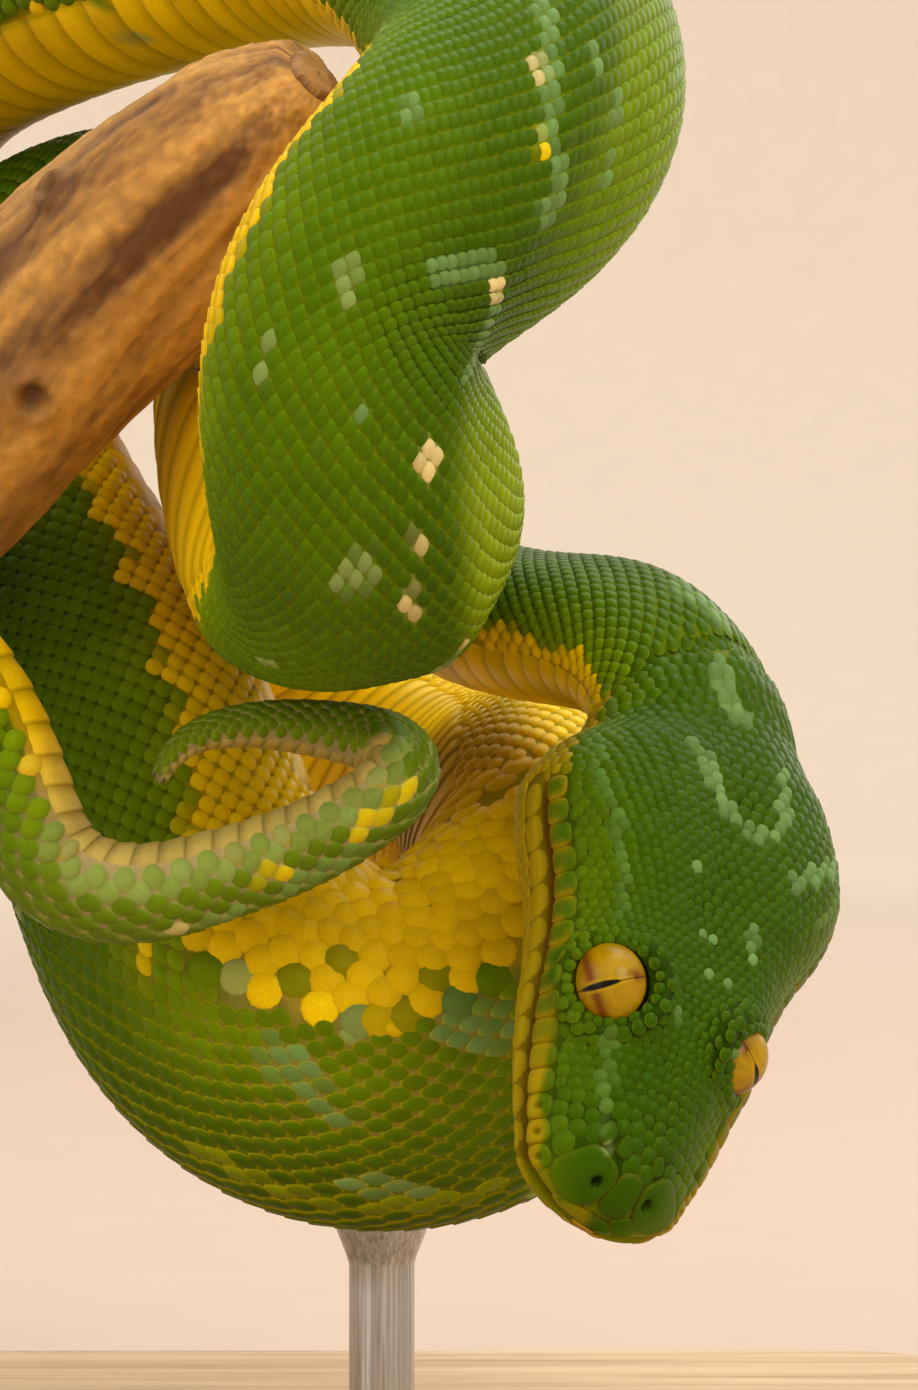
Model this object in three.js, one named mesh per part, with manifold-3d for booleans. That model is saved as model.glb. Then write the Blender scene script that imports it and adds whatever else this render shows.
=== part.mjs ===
// A green tree python coiled over the stub of a branch, life size, on a plain display stand.
// Units are millimetres, +Z is up, and the origin is the middle of the stand's underside.
// The snake is one long sweep from snout to tail tip, parted into lengths by thin cuts.

import * as THREE from 'three';
import { mergeVertices } from 'three/addons/utils/BufferGeometryUtils.js';
import Module from 'manifold-3d';

const wasm = await Module();
wasm.setup();

// ---------------------------------------------------------------- driving dimensions

const cutGap = 0.3;                // thin cut between neighbouring pieces
const headSides = 24;
const trunkSides = 18;
const tailSides = 14;
const tailStart = 900;             // behind this distance the rings have fewer sides
const coilOrigin = [35, -42, 0];   // from the coil's own zero to the middle of the stand

// body section
const ridgeRise = 0.08;            // height of the vertebral ridge, as a part of the half width
const ridgeSpread = 0.32;          // how wide the ridge is, in radians round the section
const bellyFlat = 0.88;            // how far the belly side is flattened
const bendLimit = 0.88;            // the most of a bend's radius that the inner side may take
const bendSoftness = 0.8;          // where the pressing in starts, as a part of that limit
const samplesPerSpan = 16;         // samples of the centre line between two control points

// head
const snoutRound = 5;              // length over which the snout closes
const neckBlend = [50, 66];        // distances over which the head's sections turn into the neck's
const mouthLine = [[0, -0.2], [21, 1.5], [42, 2.6]];   // distance behind the snout tip, height
const mouthGape = 0.7;             // width of the closed mouth's slit
const hingeLength = 6;            // the lower jaw's reach behind the mouth's corner
const hingeDrop = 3;
const jawBlockReach = 30;          // half size of the block that parts the lower jaw
const eyeStation = 21.5;           // distance of the eye behind the snout tip
const eyeRadius = 4.2;
const eyeOffset = 7.3;             // eye centre from the head's middle plane
const eyeHeight = 7.2;             // eye centre above the head's axis
const squareness = 0.84;           // below 1 the head's sections are squarer than an ellipse
const browRise = 0.07;             // how far the brows stand out, as a part of the section
const browLength = 5;
const browAround = [0.62, 0.22];   // where the brow sits round the section, and its spread
const muscleHollow = 1.5;          // depth of the hollow between the jaw muscles
const muscleStation = 36;
const muscleLength = 13;
const hollowWidth = 4.5;

// perch and stand
const perchSides = 18;
const perchStep = 0.62;            // rings of the perch, in spans between its control points
const perchBumps = [0.035, 0.03];  // three-sided and two-sided waviness of the bark
const baseSize = [204, 184];
const baseThickness = 12;
const baseCorner = 16;
const baseEdge = 1.2;
const postRadius = 3.6;
const postSides = 24;
const perchPostPlace = [-74, 40];  // in the coil's own zero, like the next
const bodyPostPlace = [-8.5, 38.5];
const perchUnderside = 97;         // height at which the perch's post enters the perch
const socketDepth = 6;             // how far the perch's post reaches into the perch
const bodyPostTop = 46;            // height of the blank of the body's post, before it is cut
const saddleRadius = 6;
const saddleRise = 8;
const saddleTaper = 0.25;          // how much of the cup's height is its straight rim

// Half width of the body, and its half depth as a part of that, against the distance from the
// snout tip, behind the head.
const girth = [
  [66, 10.8, 0.84], [84, 10.0, 0.86], [100, 9.9, 0.88], [131, 10.4, 0.9], [166, 11.8, 0.9],
  [201, 14.2, 0.92], [241, 17.0, 0.94], [281, 19.0, 0.95], [330, 19.4, 0.95], [380, 18.8, 0.92],
  [430, 18.0, 0.86], [480, 17.4, 0.84], [520, 16.8, 0.84], [550, 15.9, 0.84], [580, 16.2, 0.84],
  [620, 16.9, 0.85], [660, 16.8, 0.87], [716, 16.3, 0.88], [796, 14.9, 0.88], [866, 13.2, 0.88],
  [916, 11.4, 0.88], [950, 9.6, 0.88], [975, 7.7, 0.88], [992, 6.3, 0.9], [1010, 5.4, 0.9],
  [1024, 4.9, 0.9], [1036, 4.2, 0.9], [1048, 3.2, 0.9], [1062, 1.6, 0.9],
];

// Sections of the head: distance from the snout tip, half width, height and depth.
const headSections = [
  [0, 8.2, 5.6, 3.4], [5, 9.2, 6.8, 4.0], [10, 10.8, 8.2, 5.0], [15, 12.0, 9.4, 5.9],
  [20, 12.8, 10.6, 6.8], [26, 13.4, 11.4, 7.8], [32, 14.8, 12.0, 8.8], [38, 17.3, 12.4, 9.5],
  [44, 18.4, 12.0, 9.6], [50, 16.2, 11.2, 9.2], [56, 12.6, 10.0, 8.8], [66, 10.8, 9.3, 8.4],
];

// How much narrower the head's roof is than its lips, against the distance from the snout tip.
const roofNarrowing = [[0, 0.2], [8, 0.34], [16, 0.32], [22, 0.2], [32, 0.1], [50, 0.04]];

// Distances of the head's rings: close together where the snout closes, then evenly spread.
const snoutStations = [0.04, 0.5, 1.5, 3];
const headStationStep = 3;

// Longest step between rings behind the head, against the distance from the snout tip.
const ringSteps = [[60, 6], [130, 7.5], [300, 8], [860, 8], [940, 6.5], [1060, 4.5]];

// Control points of the centre line, from the snout to the tip of the tail, in the coil's own
// zero. Each row is a place and the direction that the spine faces there.
const coilRoute = [
  // head, pointing down and forward
  [12.0, -14.7, 48.7, 0.54, -0.74, 0.4], [14.4, -8.8, 56.6, 0.54, -0.74, 0.4],
  [16.9, -2.9, 65.2, 0.54, -0.74, 0.4], [19.5, 3, 73.9, 0.54, -0.74, 0.4],
  [22, 8.9, 82.5, 0.54, -0.74, 0.4], [24, 14.8, 91.8, 0.53, -0.73, 0.43],
  // neck, coming back round behind the front loop
  [23.5, 19.5, 101.3, 0.55, -0.59, 0.59], [17, 27.5, 106, 0.45, -0.35, 0.8],
  [8.5, 37, 106.5, 0.3, 0, 0.95], [-1, 50, 109, 0.2, 0.1, 0.95],
  // hidden fold of the fore body, where it thickens
  [-10, 67, 118, 0.15, -0.1, 0.97], [-16, 86, 125, 0, 0.3, 0.95], [-23, 103, 121, -0.1, 0.8, 0.6],
  [-24, 113, 106, 0, 1, 0.1], [-13, 111, 92, 0.3, 0.8, -0.5], [0, 96, 86, 0.6, 0.5, -0.6],
  // lower loop: down the right limb, round the bottom and up the left limb
  [7, 77, 86, 0.85, 0.35, -0.45], [9.5, 58.5, 82, 0.97, 0.15, -0.2], [9.8, 47.5, 73.2, 0.85, -0.1, -0.5],
  [5.8, 41.5, 64.3, 0.5, -0.4, -0.75], [-3, 39, 60, 0, -0.45, -0.88], [-13, 38.8, 60, -0.3, -0.45, -0.85],
  [-22, 40.3, 64.7, -0.65, -0.45, -0.6], [-28.3, 43.5, 73, -0.87, -0.45, -0.3],
  [-33, 49, 87, -0.9, -0.35, -0.15], [-40.3, 57, 101, -0.92, -0.25, 0],
  [-50.5, 66, 116, -0.95, -0.1, 0.1],
  // over and down behind the branch
  [-57.5, 75.5, 130, -0.95, 0.1, 0.25], [-58, 84, 140.5, -0.8, 0.3, 0.5],
  [-50.5, 87, 149.5, -0.3, 0.5, 0.8], [-39.5, 82, 153.5, 0.15, 0.45, 0.87],
  [-29, 71.5, 150.5, 0.6, 0.3, 0.75], [-20.5, 56, 141.5, 0.92, 0.1, 0.35],
  [-21, 41, 130, 0.98, -0.05, 0.15],
  // front loop: round its bottom and up the front limb
  [-19.3, 27, 120.3, 0.95, -0.1, -0.2], [-12.5, 13, 116, 0.75, -0.2, -0.65],
  [-9, 1.5, 114.8, 0.58, -0.4, -0.7], [-8.7, -7.8, 118.4, 0.5, -0.75, -0.4],
  [-11.5, -13.3, 126.5, 0.7, -0.7, 0], [-12, -14.7, 136.5, 0.87, -0.35, -0.25],
  [-5.5, -13, 145, 0.68, -0.6, -0.4], [2.7, -8.5, 152, 0.42, -0.88, 0],
  [7.5, -2.2, 159.7, 0.28, -0.88, 0.35], [6.4, 8, 168.5, 0.22, -0.8, 0.55],
  // arch over the stub and back along the branch
  [-0.5, 20, 179.5, 0.25, -0.5, 0.8], [-10, 33, 183.8, 0.15, -0.2, 0.95], [-23, 44.5, 185.2, 0.05, -0.05, 1],
  [-38.5, 56.5, 184, -0.1, 0.05, 0.98], [-54, 70, 181, -0.35, 0.15, 0.92],
  // rear loop, hanging behind
  [-69, 85, 176, -0.6, 0.4, 0.7], [-79, 98, 160, -0.6, 0.75, 0.3], [-83, 105, 141, -0.45, 0.9, 0.1],
  [-84, 107, 121, -0.4, 0.9, -0.1], [-88, 107, 104, -0.4, 0.75, -0.5],
  [-97, 103, 92, -0.5, 0.45, -0.75], [-110, 95, 90, -0.8, 0.1, -0.6],
  [-121, 84, 99, -0.95, -0.1, -0.1], [-125, 69, 115, -0.85, -0.2, 0.5],
  // over the perch to the front
  [-119, 53, 124.5, -0.5, -0.3, 0.82], [-107, 38, 126, -0.3, -0.45, 0.85],
  [-97, 26, 126, -0.25, -0.6, 0.75], [-87, 17, 124, -0.2, -0.75, 0.65],
  // tail, down the front of the lower loop, round and back
  [-76, 11, 119.5, -0.2, -0.95, 0.2], [-65.5, 8, 113, -0.35, -0.85, -0.35],
  [-55.5, 8.5, 106, -0.5, -0.6, -0.65], [-48, 10, 97, -0.8, -0.4, -0.42],
  [-44.5, 10, 88, -0.93, -0.3, -0.2], [-41, 10, 81.2, -0.7, -0.3, -0.65],
  [-33, 10, 79.4, -0.2, -0.3, -0.93], [-25.5, 11, 81.6, 0.1, -0.3, -0.95],
  [-17.5, 12, 84, 0.2, -0.3, -0.93], [-10, 12, 88, 0.4, -0.3, -0.85],
  [-5.3, 14, 91.5, 0.85, -0.4, -0.3], [-7, 20, 95, 0.3, -0.5, 0.8],
  [-14, 22, 96.3, -0.1, -0.4, 0.9], [-21.5, 20, 97, -0.2, -0.4, 0.9],
  [-28, 17.5, 96, -0.6, -0.45, 0.65], [-31.5, 15, 92, -0.8, -0.5, 0.1], [-31, 13.5, 87.5, -0.8, -0.5, -0.2],
];

// Where the body is parted, as distances from the snout tip, with each length's name.
const bodyLengths = [
  ['neck', 60, 122], ['trunk_1', 122, 164], ['trunk_2', 164, 210], ['trunk_3', 210, 262],
  ['trunk_4', 262, 318], ['trunk_5', 318, 372], ['trunk_6', 372, 412], ['trunk_7', 412, 456],
  ['trunk_8', 456, 510], ['trunk_9', 510, 562], ['trunk_10', 562, 606], ['trunk_11', 606, 656],
  ['trunk_12', 656, 704], ['trunk_13', 704, 752], ['trunk_14', 752, 800], ['trunk_15', 800, 846],
  ['trunk_16', 846, 888], ['trunk_17', 888, 926], ['tail_base', 926, 980], ['tail', 980, 1020],
  ['tail_tip', 1020, 1064],
];

// The perch: places along the branch in the coil's zero, each with the branch's radius.
const perchRoute = [
  [-14.6, 1.6, 162, 5.0], [-17, 3.2, 160, 7.4], [-21, 5.8, 156.6, 9.6], [-29, 11, 150.5, 11.6],
  [-39, 18, 142, 12.5], [-50, 25.5, 132, 12.9], [-63, 33.5, 120, 12.8], [-77, 42, 107, 12.2],
  [-91, 49.5, 97, 11.8], [-105, 56, 89.5, 11.5], [-119, 62, 84.8, 11.2], [-133, 68, 81.8, 10.8],
];

const colours = {
  skin: 0x5f8a12, jaw: 0x9a9a20, eye: 0xc99a3a, bark: 0xa8743a, base: 0xd8bc94, steel: 0xb9bcc0,
};

// ---------------------------------------------------------------- centre line

// Value of a smooth curve through evenly spaced rows of numbers, as a cubic B-spline.
function splineRow(rows, position) {
  const last = rows.length - 1;
  const span = Math.min(Math.max(Math.floor(position), 0), last - 1);
  const t = position - span;
  const weights = [
    (1 - t) ** 3, 3 * t ** 3 - 6 * t * t + 4, -3 * t ** 3 + 3 * t * t + 3 * t + 1, t ** 3,
  ];
  const row = (index) => {
    if (index < 0) return rows[0].map((value, k) => 2 * value - rows[1][k]);
    if (index > last) return rows[last].map((value, k) => 2 * value - rows[last - 1][k]);
    return rows[index];
  };
  const picked = [span - 1, span, span + 1, span + 2].map(row);
  return rows[0].map((_, k) => picked.reduce((sum, r, j) => sum + r[k] * weights[j], 0) / 6);
}

// Linear reading of a table of [place, value, ...] rows, eased so that no corner shows.
function readTable(table, place) {
  const last = table.length - 1;
  if (place <= table[0][0]) return table[0].slice(1);
  if (place >= table[last][0]) return table[last].slice(1);
  const k = table.findIndex((row) => row[0] > place) - 1;
  const slope = (i, c) => {
    const a = table[Math.max(i - 1, 0)];
    const b = table[Math.min(i + 1, last)];
    return (b[c] - a[c]) / (b[0] - a[0]);
  };
  const width = table[k + 1][0] - table[k][0];
  const t = (place - table[k][0]) / width;
  return table[k].slice(1).map((value, i) => {
    const c = i + 1;
    const rise = table[k + 1][c];
    return (2 * t ** 3 - 3 * t * t + 1) * value + (t ** 3 - 2 * t * t + t) * width * slope(k, c)
      + (3 * t * t - 2 * t ** 3) * rise + (t ** 3 - t * t) * width * slope(k + 1, c);
  });
}

// Distance along the centre line at evenly spaced samples.
function measureRoute(rows) {
  const count = (rows.length - 1) * samplesPerSpan;
  const places = [0];
  let previous = new THREE.Vector3(...splineRow(rows, 0));
  for (let k = 1; k <= count; k++) {
    const point = new THREE.Vector3(...splineRow(rows, k / samplesPerSpan));
    places.push(places[k - 1] + point.distanceTo(previous));
    previous = point;
  }
  return places;
}

const routePlaces = measureRoute(coilRoute);
const bodyEnd = routePlaces[routePlaces.length - 1];

// Position along the control points of a distance from the snout tip.
function positionAt(distance) {
  const places = routePlaces;
  if (distance <= 0) return distance / (places[1] * samplesPerSpan);
  let k = places.findIndex((place) => place >= distance);
  if (k < 0) k = places.length - 1;
  const part = (distance - places[k - 1]) / (places[k] - places[k - 1]);
  return (k - 1 + part) / samplesPerSpan;
}

function pointAt(distance) {
  const row = splineRow(coilRoute, positionAt(distance));
  return new THREE.Vector3(row[0], row[1], row[2]).add(new THREE.Vector3(...coilOrigin));
}

// Frame of the body at a distance from the snout tip: place, run towards the tail, spine
// direction, side direction and the pull towards the centre of the bend.
function frameAt(distance) {
  const reach = 1.5;
  const centre = pointAt(distance);
  const before = pointAt(distance - reach);
  const after = pointAt(distance + reach);
  const along = after.clone().sub(before).normalize();
  const row = splineRow(coilRoute, positionAt(distance));
  const spine = new THREE.Vector3(row[3], row[4], row[5]);
  spine.addScaledVector(along, -spine.dot(along)).normalize();
  const side = along.clone().cross(spine);
  const bend = after.clone().add(before).addScaledVector(centre, -2).divideScalar(reach * reach);
  return { centre, along, spine, side, bend };
}

// ---------------------------------------------------------------- sections

// Trunk section at an angle from the spine: side and spine coordinates at a distance.
function trunkOutline(angle, distance) {
  const [halfWidth, depthRatio] = readTable(girth, distance);
  const wrapped = Math.atan2(Math.sin(angle), Math.cos(angle));
  const side = halfWidth * Math.sin(angle);
  const ridge = ridgeRise * halfWidth * Math.exp(-((wrapped / ridgeSpread) ** 2));
  const below = Math.cos(angle) < 0 ? bellyFlat : 1;
  return [side, halfWidth * depthRatio * Math.cos(angle) * below + ridge];
}

// Head section at an angle from the spine, at a distance from the snout tip. The roof is
// narrower than the lips, the brows stand out over the eyes, and the jaw muscles leave a
// hollow between them.
function headOutline(angle, distance) {
  const [halfWidth, height, depth] = readTable(headSections, distance);
  const closing = distance < snoutRound
    ? Math.sqrt(Math.max(0, 1 - (1 - distance / snoutRound) ** 2)) : 1;
  const sine = Math.sin(angle);
  const cosine = Math.cos(angle);
  const up = Math.sign(cosine) * Math.abs(cosine) ** squareness;
  const narrowing = cosine > 0 ? readTable(roofNarrowing, distance)[0] * up * up : 0;
  const across = Math.sign(sine) * Math.abs(sine) ** squareness * (1 - narrowing);
  const rise = (cosine > 0 ? height : depth) * up;
  const nearBrow = Math.exp(-(((distance - eyeStation - 1) / browLength) ** 2));
  const aroundBrow = (Math.abs(sine) - browAround[0]) / browAround[1];
  const onBrow = cosine > 0 ? Math.exp(-(aroundBrow ** 2)) : 0;
  const brow = 1 + browRise * nearBrow * onBrow;
  const nearMuscles = Math.exp(-(((distance - muscleStation) / muscleLength) ** 2));
  const side = halfWidth * across * brow;
  const inHollow = cosine > 0 ? Math.exp(-((side / hollowWidth) ** 2)) : 0;
  return [side * closing, (rise * brow - muscleHollow * nearMuscles * inHollow) * closing];
}

// Outline of the whole animal: the head's sections, blended into the trunk's behind the jaw.
function bodyOutline(angle, distance) {
  const [blendStart, blendEnd] = neckBlend;
  if (distance <= blendStart) return headOutline(angle, distance);
  const trunk = trunkOutline(angle, distance);
  if (distance >= blendEnd) return trunk;
  const t = (distance - blendStart) / (blendEnd - blendStart);
  const ease = t * t * (3 - 2 * t);
  const head = headOutline(angle, distance);
  return [head[0] + (trunk[0] - head[0]) * ease, head[1] + (trunk[1] - head[1]) * ease];
}

// One ring of points round the body. On the inner side of a bend the ring is pressed in, so
// that neighbouring rings never pass through each other.
function bodyRing(distance, sides, swell = 0) {
  const frame = frameAt(distance);
  const tightness = frame.bend.length();
  const ring = [];
  for (let k = 0; k < sides; k++) {
    const [side, rise] = bodyOutline((k / sides) * 2 * Math.PI, distance);
    const offset = frame.side.clone().multiplyScalar(side).addScaledVector(frame.spine, rise);
    offset.setLength(offset.length() + swell);
    if (tightness > 1e-5) {
      const inward = frame.bend.clone().divideScalar(tightness);
      const limit = bendLimit / tightness;
      const reach = offset.dot(inward);
      const soft = limit * bendSoftness;
      if (reach > soft) {
        const pressed = soft + (limit - soft) * Math.tanh((reach - soft) / (limit - soft));
        offset.addScaledVector(inward, pressed - reach);
      }
    }
    ring.push(frame.centre.clone().add(offset));
  }
  return ring;
}

// ---------------------------------------------------------------- meshes

// Closed solid through a list of rings of equal count, with a fan over each end.
function loftRings(rings) {
  const sides = rings[0].length;
  const positions = [];
  const triangles = [];
  rings.flat().forEach((p) => positions.push(p.x, p.y, p.z));
  for (let i = 0; i + 1 < rings.length; i++) {
    for (let j = 0; j < sides; j++) {
      const a = i * sides + j;
      const b = i * sides + ((j + 1) % sides);
      triangles.push(a, b, b + sides, a, b + sides, a + sides);
    }
  }
  const addCap = (ring, base, facingForward) => {
    const middle = ring.reduce((sum, p) => sum.add(p), new THREE.Vector3()).divideScalar(sides);
    const centre = positions.length / 3;
    positions.push(middle.x, middle.y, middle.z);
    for (let j = 0; j < sides; j++) {
      const a = base + j;
      const b = base + ((j + 1) % sides);
      if (facingForward) triangles.push(centre, a, b);
      else triangles.push(centre, b, a);
    }
  };
  addCap(rings[0], 0, false);
  addCap(rings[rings.length - 1], (rings.length - 1) * sides, true);
  const geometry = new THREE.BufferGeometry();
  geometry.setAttribute('position', new THREE.Float32BufferAttribute(positions, 3));
  geometry.setIndex(triangles);
  return geometry;
}

// Evenly spread distances from one end to the other, no further apart than the step.
function spread(start, end, step) {
  const count = Math.max(2, Math.ceil((end - start) / step));
  return Array.from({ length: count + 1 }, (_, k) => start + ((end - start) * k) / count);
}

function toSolid(geometry) {
  const bare = geometry.clone();
  bare.deleteAttribute('normal');
  bare.deleteAttribute('uv');
  const merged = mergeVertices(bare, 1e-4);
  return new wasm.Manifold(new wasm.Mesh({
    numProp: 3,
    vertProperties: Float32Array.from(merged.attributes.position.array),
    triVerts: Uint32Array.from(merged.index.array),
  }));
}

function fromSolid(solid) {
  const mesh = solid.getMesh();
  const geometry = new THREE.BufferGeometry();
  geometry.setAttribute('position', new THREE.BufferAttribute(mesh.vertProperties, 3));
  geometry.setIndex(new THREE.BufferAttribute(mesh.triVerts, 1));
  return geometry;
}

function finish(color, roughness, metalness = 0) {
  return new THREE.MeshStandardMaterial({ color, roughness, metalness, flatShading: true });
}

const materials = {
  skin: finish(colours.skin, 0.45),
  jaw: finish(colours.jaw, 0.45),
  eye: finish(colours.eye, 0.1),
  bark: finish(colours.bark, 0.85),
  base: finish(colours.base, 0.5),
  steel: finish(colours.steel, 0.3, 1),
};

const group = new THREE.Group();

function place(name, geometry, material) {
  const mesh = new THREE.Mesh(geometry, material);
  mesh.name = name;
  group.add(mesh);
}

// ---------------------------------------------------------------- body lengths

function lengthRings(start, end, swell = 0) {
  const sides = start > tailStart ? tailSides : trunkSides;
  const step = readTable(ringSteps, (start + end) / 2)[0];
  const places = spread(start + cutGap / 2, end - cutGap / 2, step);
  return places.map((distance) => bodyRing(distance, sides, swell));
}

bodyLengths.forEach(([name, start, end]) => place(name, loftRings(lengthRings(start, end)), materials.skin));

// ---------------------------------------------------------------- head

const headEnd = bodyLengths[0][1] - cutGap / 2;
const headFrame = frameAt(eyeStation);

// A place on the head: distance behind the snout tip, to the animal's left, and up.
function headPoint(distance, left, up) {
  const frame = frameAt(distance);
  return frame.centre.clone().addScaledVector(frame.side, left).addScaledVector(frame.spine, up);
}

function wholeHead() {
  const places = [...snoutStations, ...spread(snoutRound, headEnd, headStationStep)];
  return loftRings(places.map((distance) => bodyRing(distance, headSides)));
}

// Block under the mouth line and in front of the jaw's hinge, carried on the head's own axes.
function jawBlock(clearance) {
  const outline = new THREE.Shape();
  const [mouthCorner, cornerHeight] = mouthLine[mouthLine.length - 1];
  const back = mouthCorner + hingeLength + clearance;
  outline.moveTo(-jawBlockReach, mouthLine[0][1] + clearance);
  mouthLine.forEach(([distance, height]) => outline.lineTo(distance, height + clearance));
  outline.lineTo(back, cornerHeight - hingeDrop);
  outline.lineTo(back, -jawBlockReach);
  outline.lineTo(-jawBlockReach, -jawBlockReach);
  outline.closePath();
  const block = new THREE.ExtrudeGeometry(outline, { depth: 2 * jawBlockReach, bevelEnabled: false });
  block.translate(0, 0, -jawBlockReach);
  const origin = pointAt(0);
  const axes = new THREE.Matrix4().makeBasis(headFrame.along, headFrame.spine, headFrame.side);
  return block.applyMatrix4(axes.setPosition(origin));
}

function eyeCentre(sideSign) {
  return headPoint(eyeStation, sideSign * eyeOffset, eyeHeight);
}

function eyeBall(sideSign, radius) {
  const ball = new THREE.SphereGeometry(radius, 16, 10);
  const centre = eyeCentre(sideSign);
  return ball.translate(centre.x, centre.y, centre.z);
}

const headSolid = toSolid(wholeHead());
const skullSolid = headSolid
  .subtract(toSolid(jawBlock(mouthGape / 2)))
  .subtract(toSolid(eyeBall(1, eyeRadius + cutGap)))
  .subtract(toSolid(eyeBall(-1, eyeRadius + cutGap)));
const jawSolid = headSolid.intersect(toSolid(jawBlock(-mouthGape / 2)));

place('head', fromSolid(skullSolid), materials.skin);
place('lower_jaw', fromSolid(jawSolid), materials.jaw);
place('eye_left', eyeBall(1, eyeRadius), materials.eye);
place('eye_right', eyeBall(-1, eyeRadius), materials.eye);

// ---------------------------------------------------------------- perch

function perchRing(position) {
  const row = splineRow(perchRoute, position);
  const ahead = splineRow(perchRoute, Math.min(position + 0.05, perchRoute.length - 1));
  const behind = splineRow(perchRoute, Math.max(position - 0.05, 0));
  const centre = new THREE.Vector3(row[0], row[1], row[2]).add(new THREE.Vector3(...coilOrigin));
  const along = new THREE.Vector3(
    ahead[0] - behind[0], ahead[1] - behind[1], ahead[2] - behind[2]).normalize();
  const up = new THREE.Vector3(0, 0, 1).addScaledVector(along, -along.z).normalize();
  const side = along.clone().cross(up);
  return Array.from({ length: perchSides }, (_, k) => {
    const angle = (k / perchSides) * 2 * Math.PI;
    const threeSided = perchBumps[0] * Math.sin(3 * angle + 2 * position);
    const twoSided = perchBumps[1] * Math.sin(2 * angle - position);
    const radius = row[3] * (1 + threeSided + twoSided);
    return centre.clone().addScaledVector(up, radius * Math.cos(angle))
      .addScaledVector(side, radius * Math.sin(angle));
  });
}

function perchBranch() {
  return loftRings(spread(0, perchRoute.length - 1, perchStep).map(perchRing));
}

// ---------------------------------------------------------------- stand

function roundedBase() {
  const [width, depth] = baseSize;
  const x = width / 2 - baseEdge;
  const y = depth / 2 - baseEdge;
  const r = baseCorner;
  const outline = new THREE.Shape();
  outline.moveTo(-x + r, -y);
  outline.lineTo(x - r, -y);
  outline.absarc(x - r, -y + r, r, -Math.PI / 2, 0);
  outline.lineTo(x, y - r);
  outline.absarc(x - r, y - r, r, 0, Math.PI / 2);
  outline.lineTo(-x + r, y);
  outline.absarc(-x + r, y - r, r, Math.PI / 2, Math.PI);
  outline.lineTo(-x, -y + r);
  outline.absarc(-x + r, -y + r, r, Math.PI, Math.PI * 1.5);
  const plate = new THREE.ExtrudeGeometry(outline, {
    depth: baseThickness - 2 * baseEdge, bevelThickness: baseEdge, bevelSize: baseEdge,
    bevelSegments: 1, curveSegments: 5,
  });
  return plate.translate(0, 0, baseEdge);
}

// Upright rod on a vertical axis, with an optional flared cup at its top.
function uprightRod(x, y, bottom, top, cupRadius = 0) {
  const profile = [[0, bottom], [postRadius, bottom]];
  if (cupRadius > 0) {
    profile.push([postRadius, top - saddleRise], [cupRadius, top - saddleRise * saddleTaper]);
    profile.push([cupRadius, top]);
  } else profile.push([postRadius, top]);
  profile.push([0, top]);
  const points = profile.map(([radius, height]) => new THREE.Vector2(radius, height));
  const rod = new THREE.LatheGeometry(points, postSides);
  rod.rotateX(Math.PI / 2);
  return rod.translate(x, y, 0);
}

const perchPostAt = perchPostPlace.map((value, k) => value + coilOrigin[k]);
const bodyPostAt = bodyPostPlace.map((value, k) => value + coilOrigin[k]);
const perchPostTop = perchUnderside + socketDepth;
const restingLength = bodyLengths.find(([name]) => name === 'trunk_4');

const perchPost = uprightRod(...perchPostAt, baseThickness + cutGap, perchPostTop);
const perchSocket = uprightRod(0, 0, baseThickness, perchPostTop + cutGap);
const socketScale = (postRadius + cutGap) / postRadius;
perchSocket.scale(socketScale, socketScale, 1).translate(...perchPostAt, 0);
const perchSolid = toSolid(perchBranch()).subtract(toSolid(perchSocket));
place('perch_branch', fromSolid(perchSolid), materials.bark);
place('stand_post_perch', perchPost, materials.steel);

// The body's post ends in a cup that is cut to the underside of the lower loop.
const restingBody = loftRings(lengthRings(restingLength[1], restingLength[2], cutGap));
const bodyPostBlank = uprightRod(...bodyPostAt, baseThickness + cutGap, bodyPostTop, saddleRadius);
const bodyPost = toSolid(bodyPostBlank).subtract(toSolid(restingBody));
place('stand_post_body', fromSolid(bodyPost), materials.steel);
place('stand_base', roundedBase(), materials.base);

export default group;
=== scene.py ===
"""A green tree python draped over the stub of a branch, on a plain display stand.

The snake is one sweep from the snout to the tail tip. Its outer surface is a formula of the
distance from the snout and the angle from the spine, so skin, scales and markings share one
pair of coordinates. Shapes are worked out in millimetres and stored in metres.
"""

import logging
import math
from dataclasses import dataclass
from enum import Enum

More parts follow.
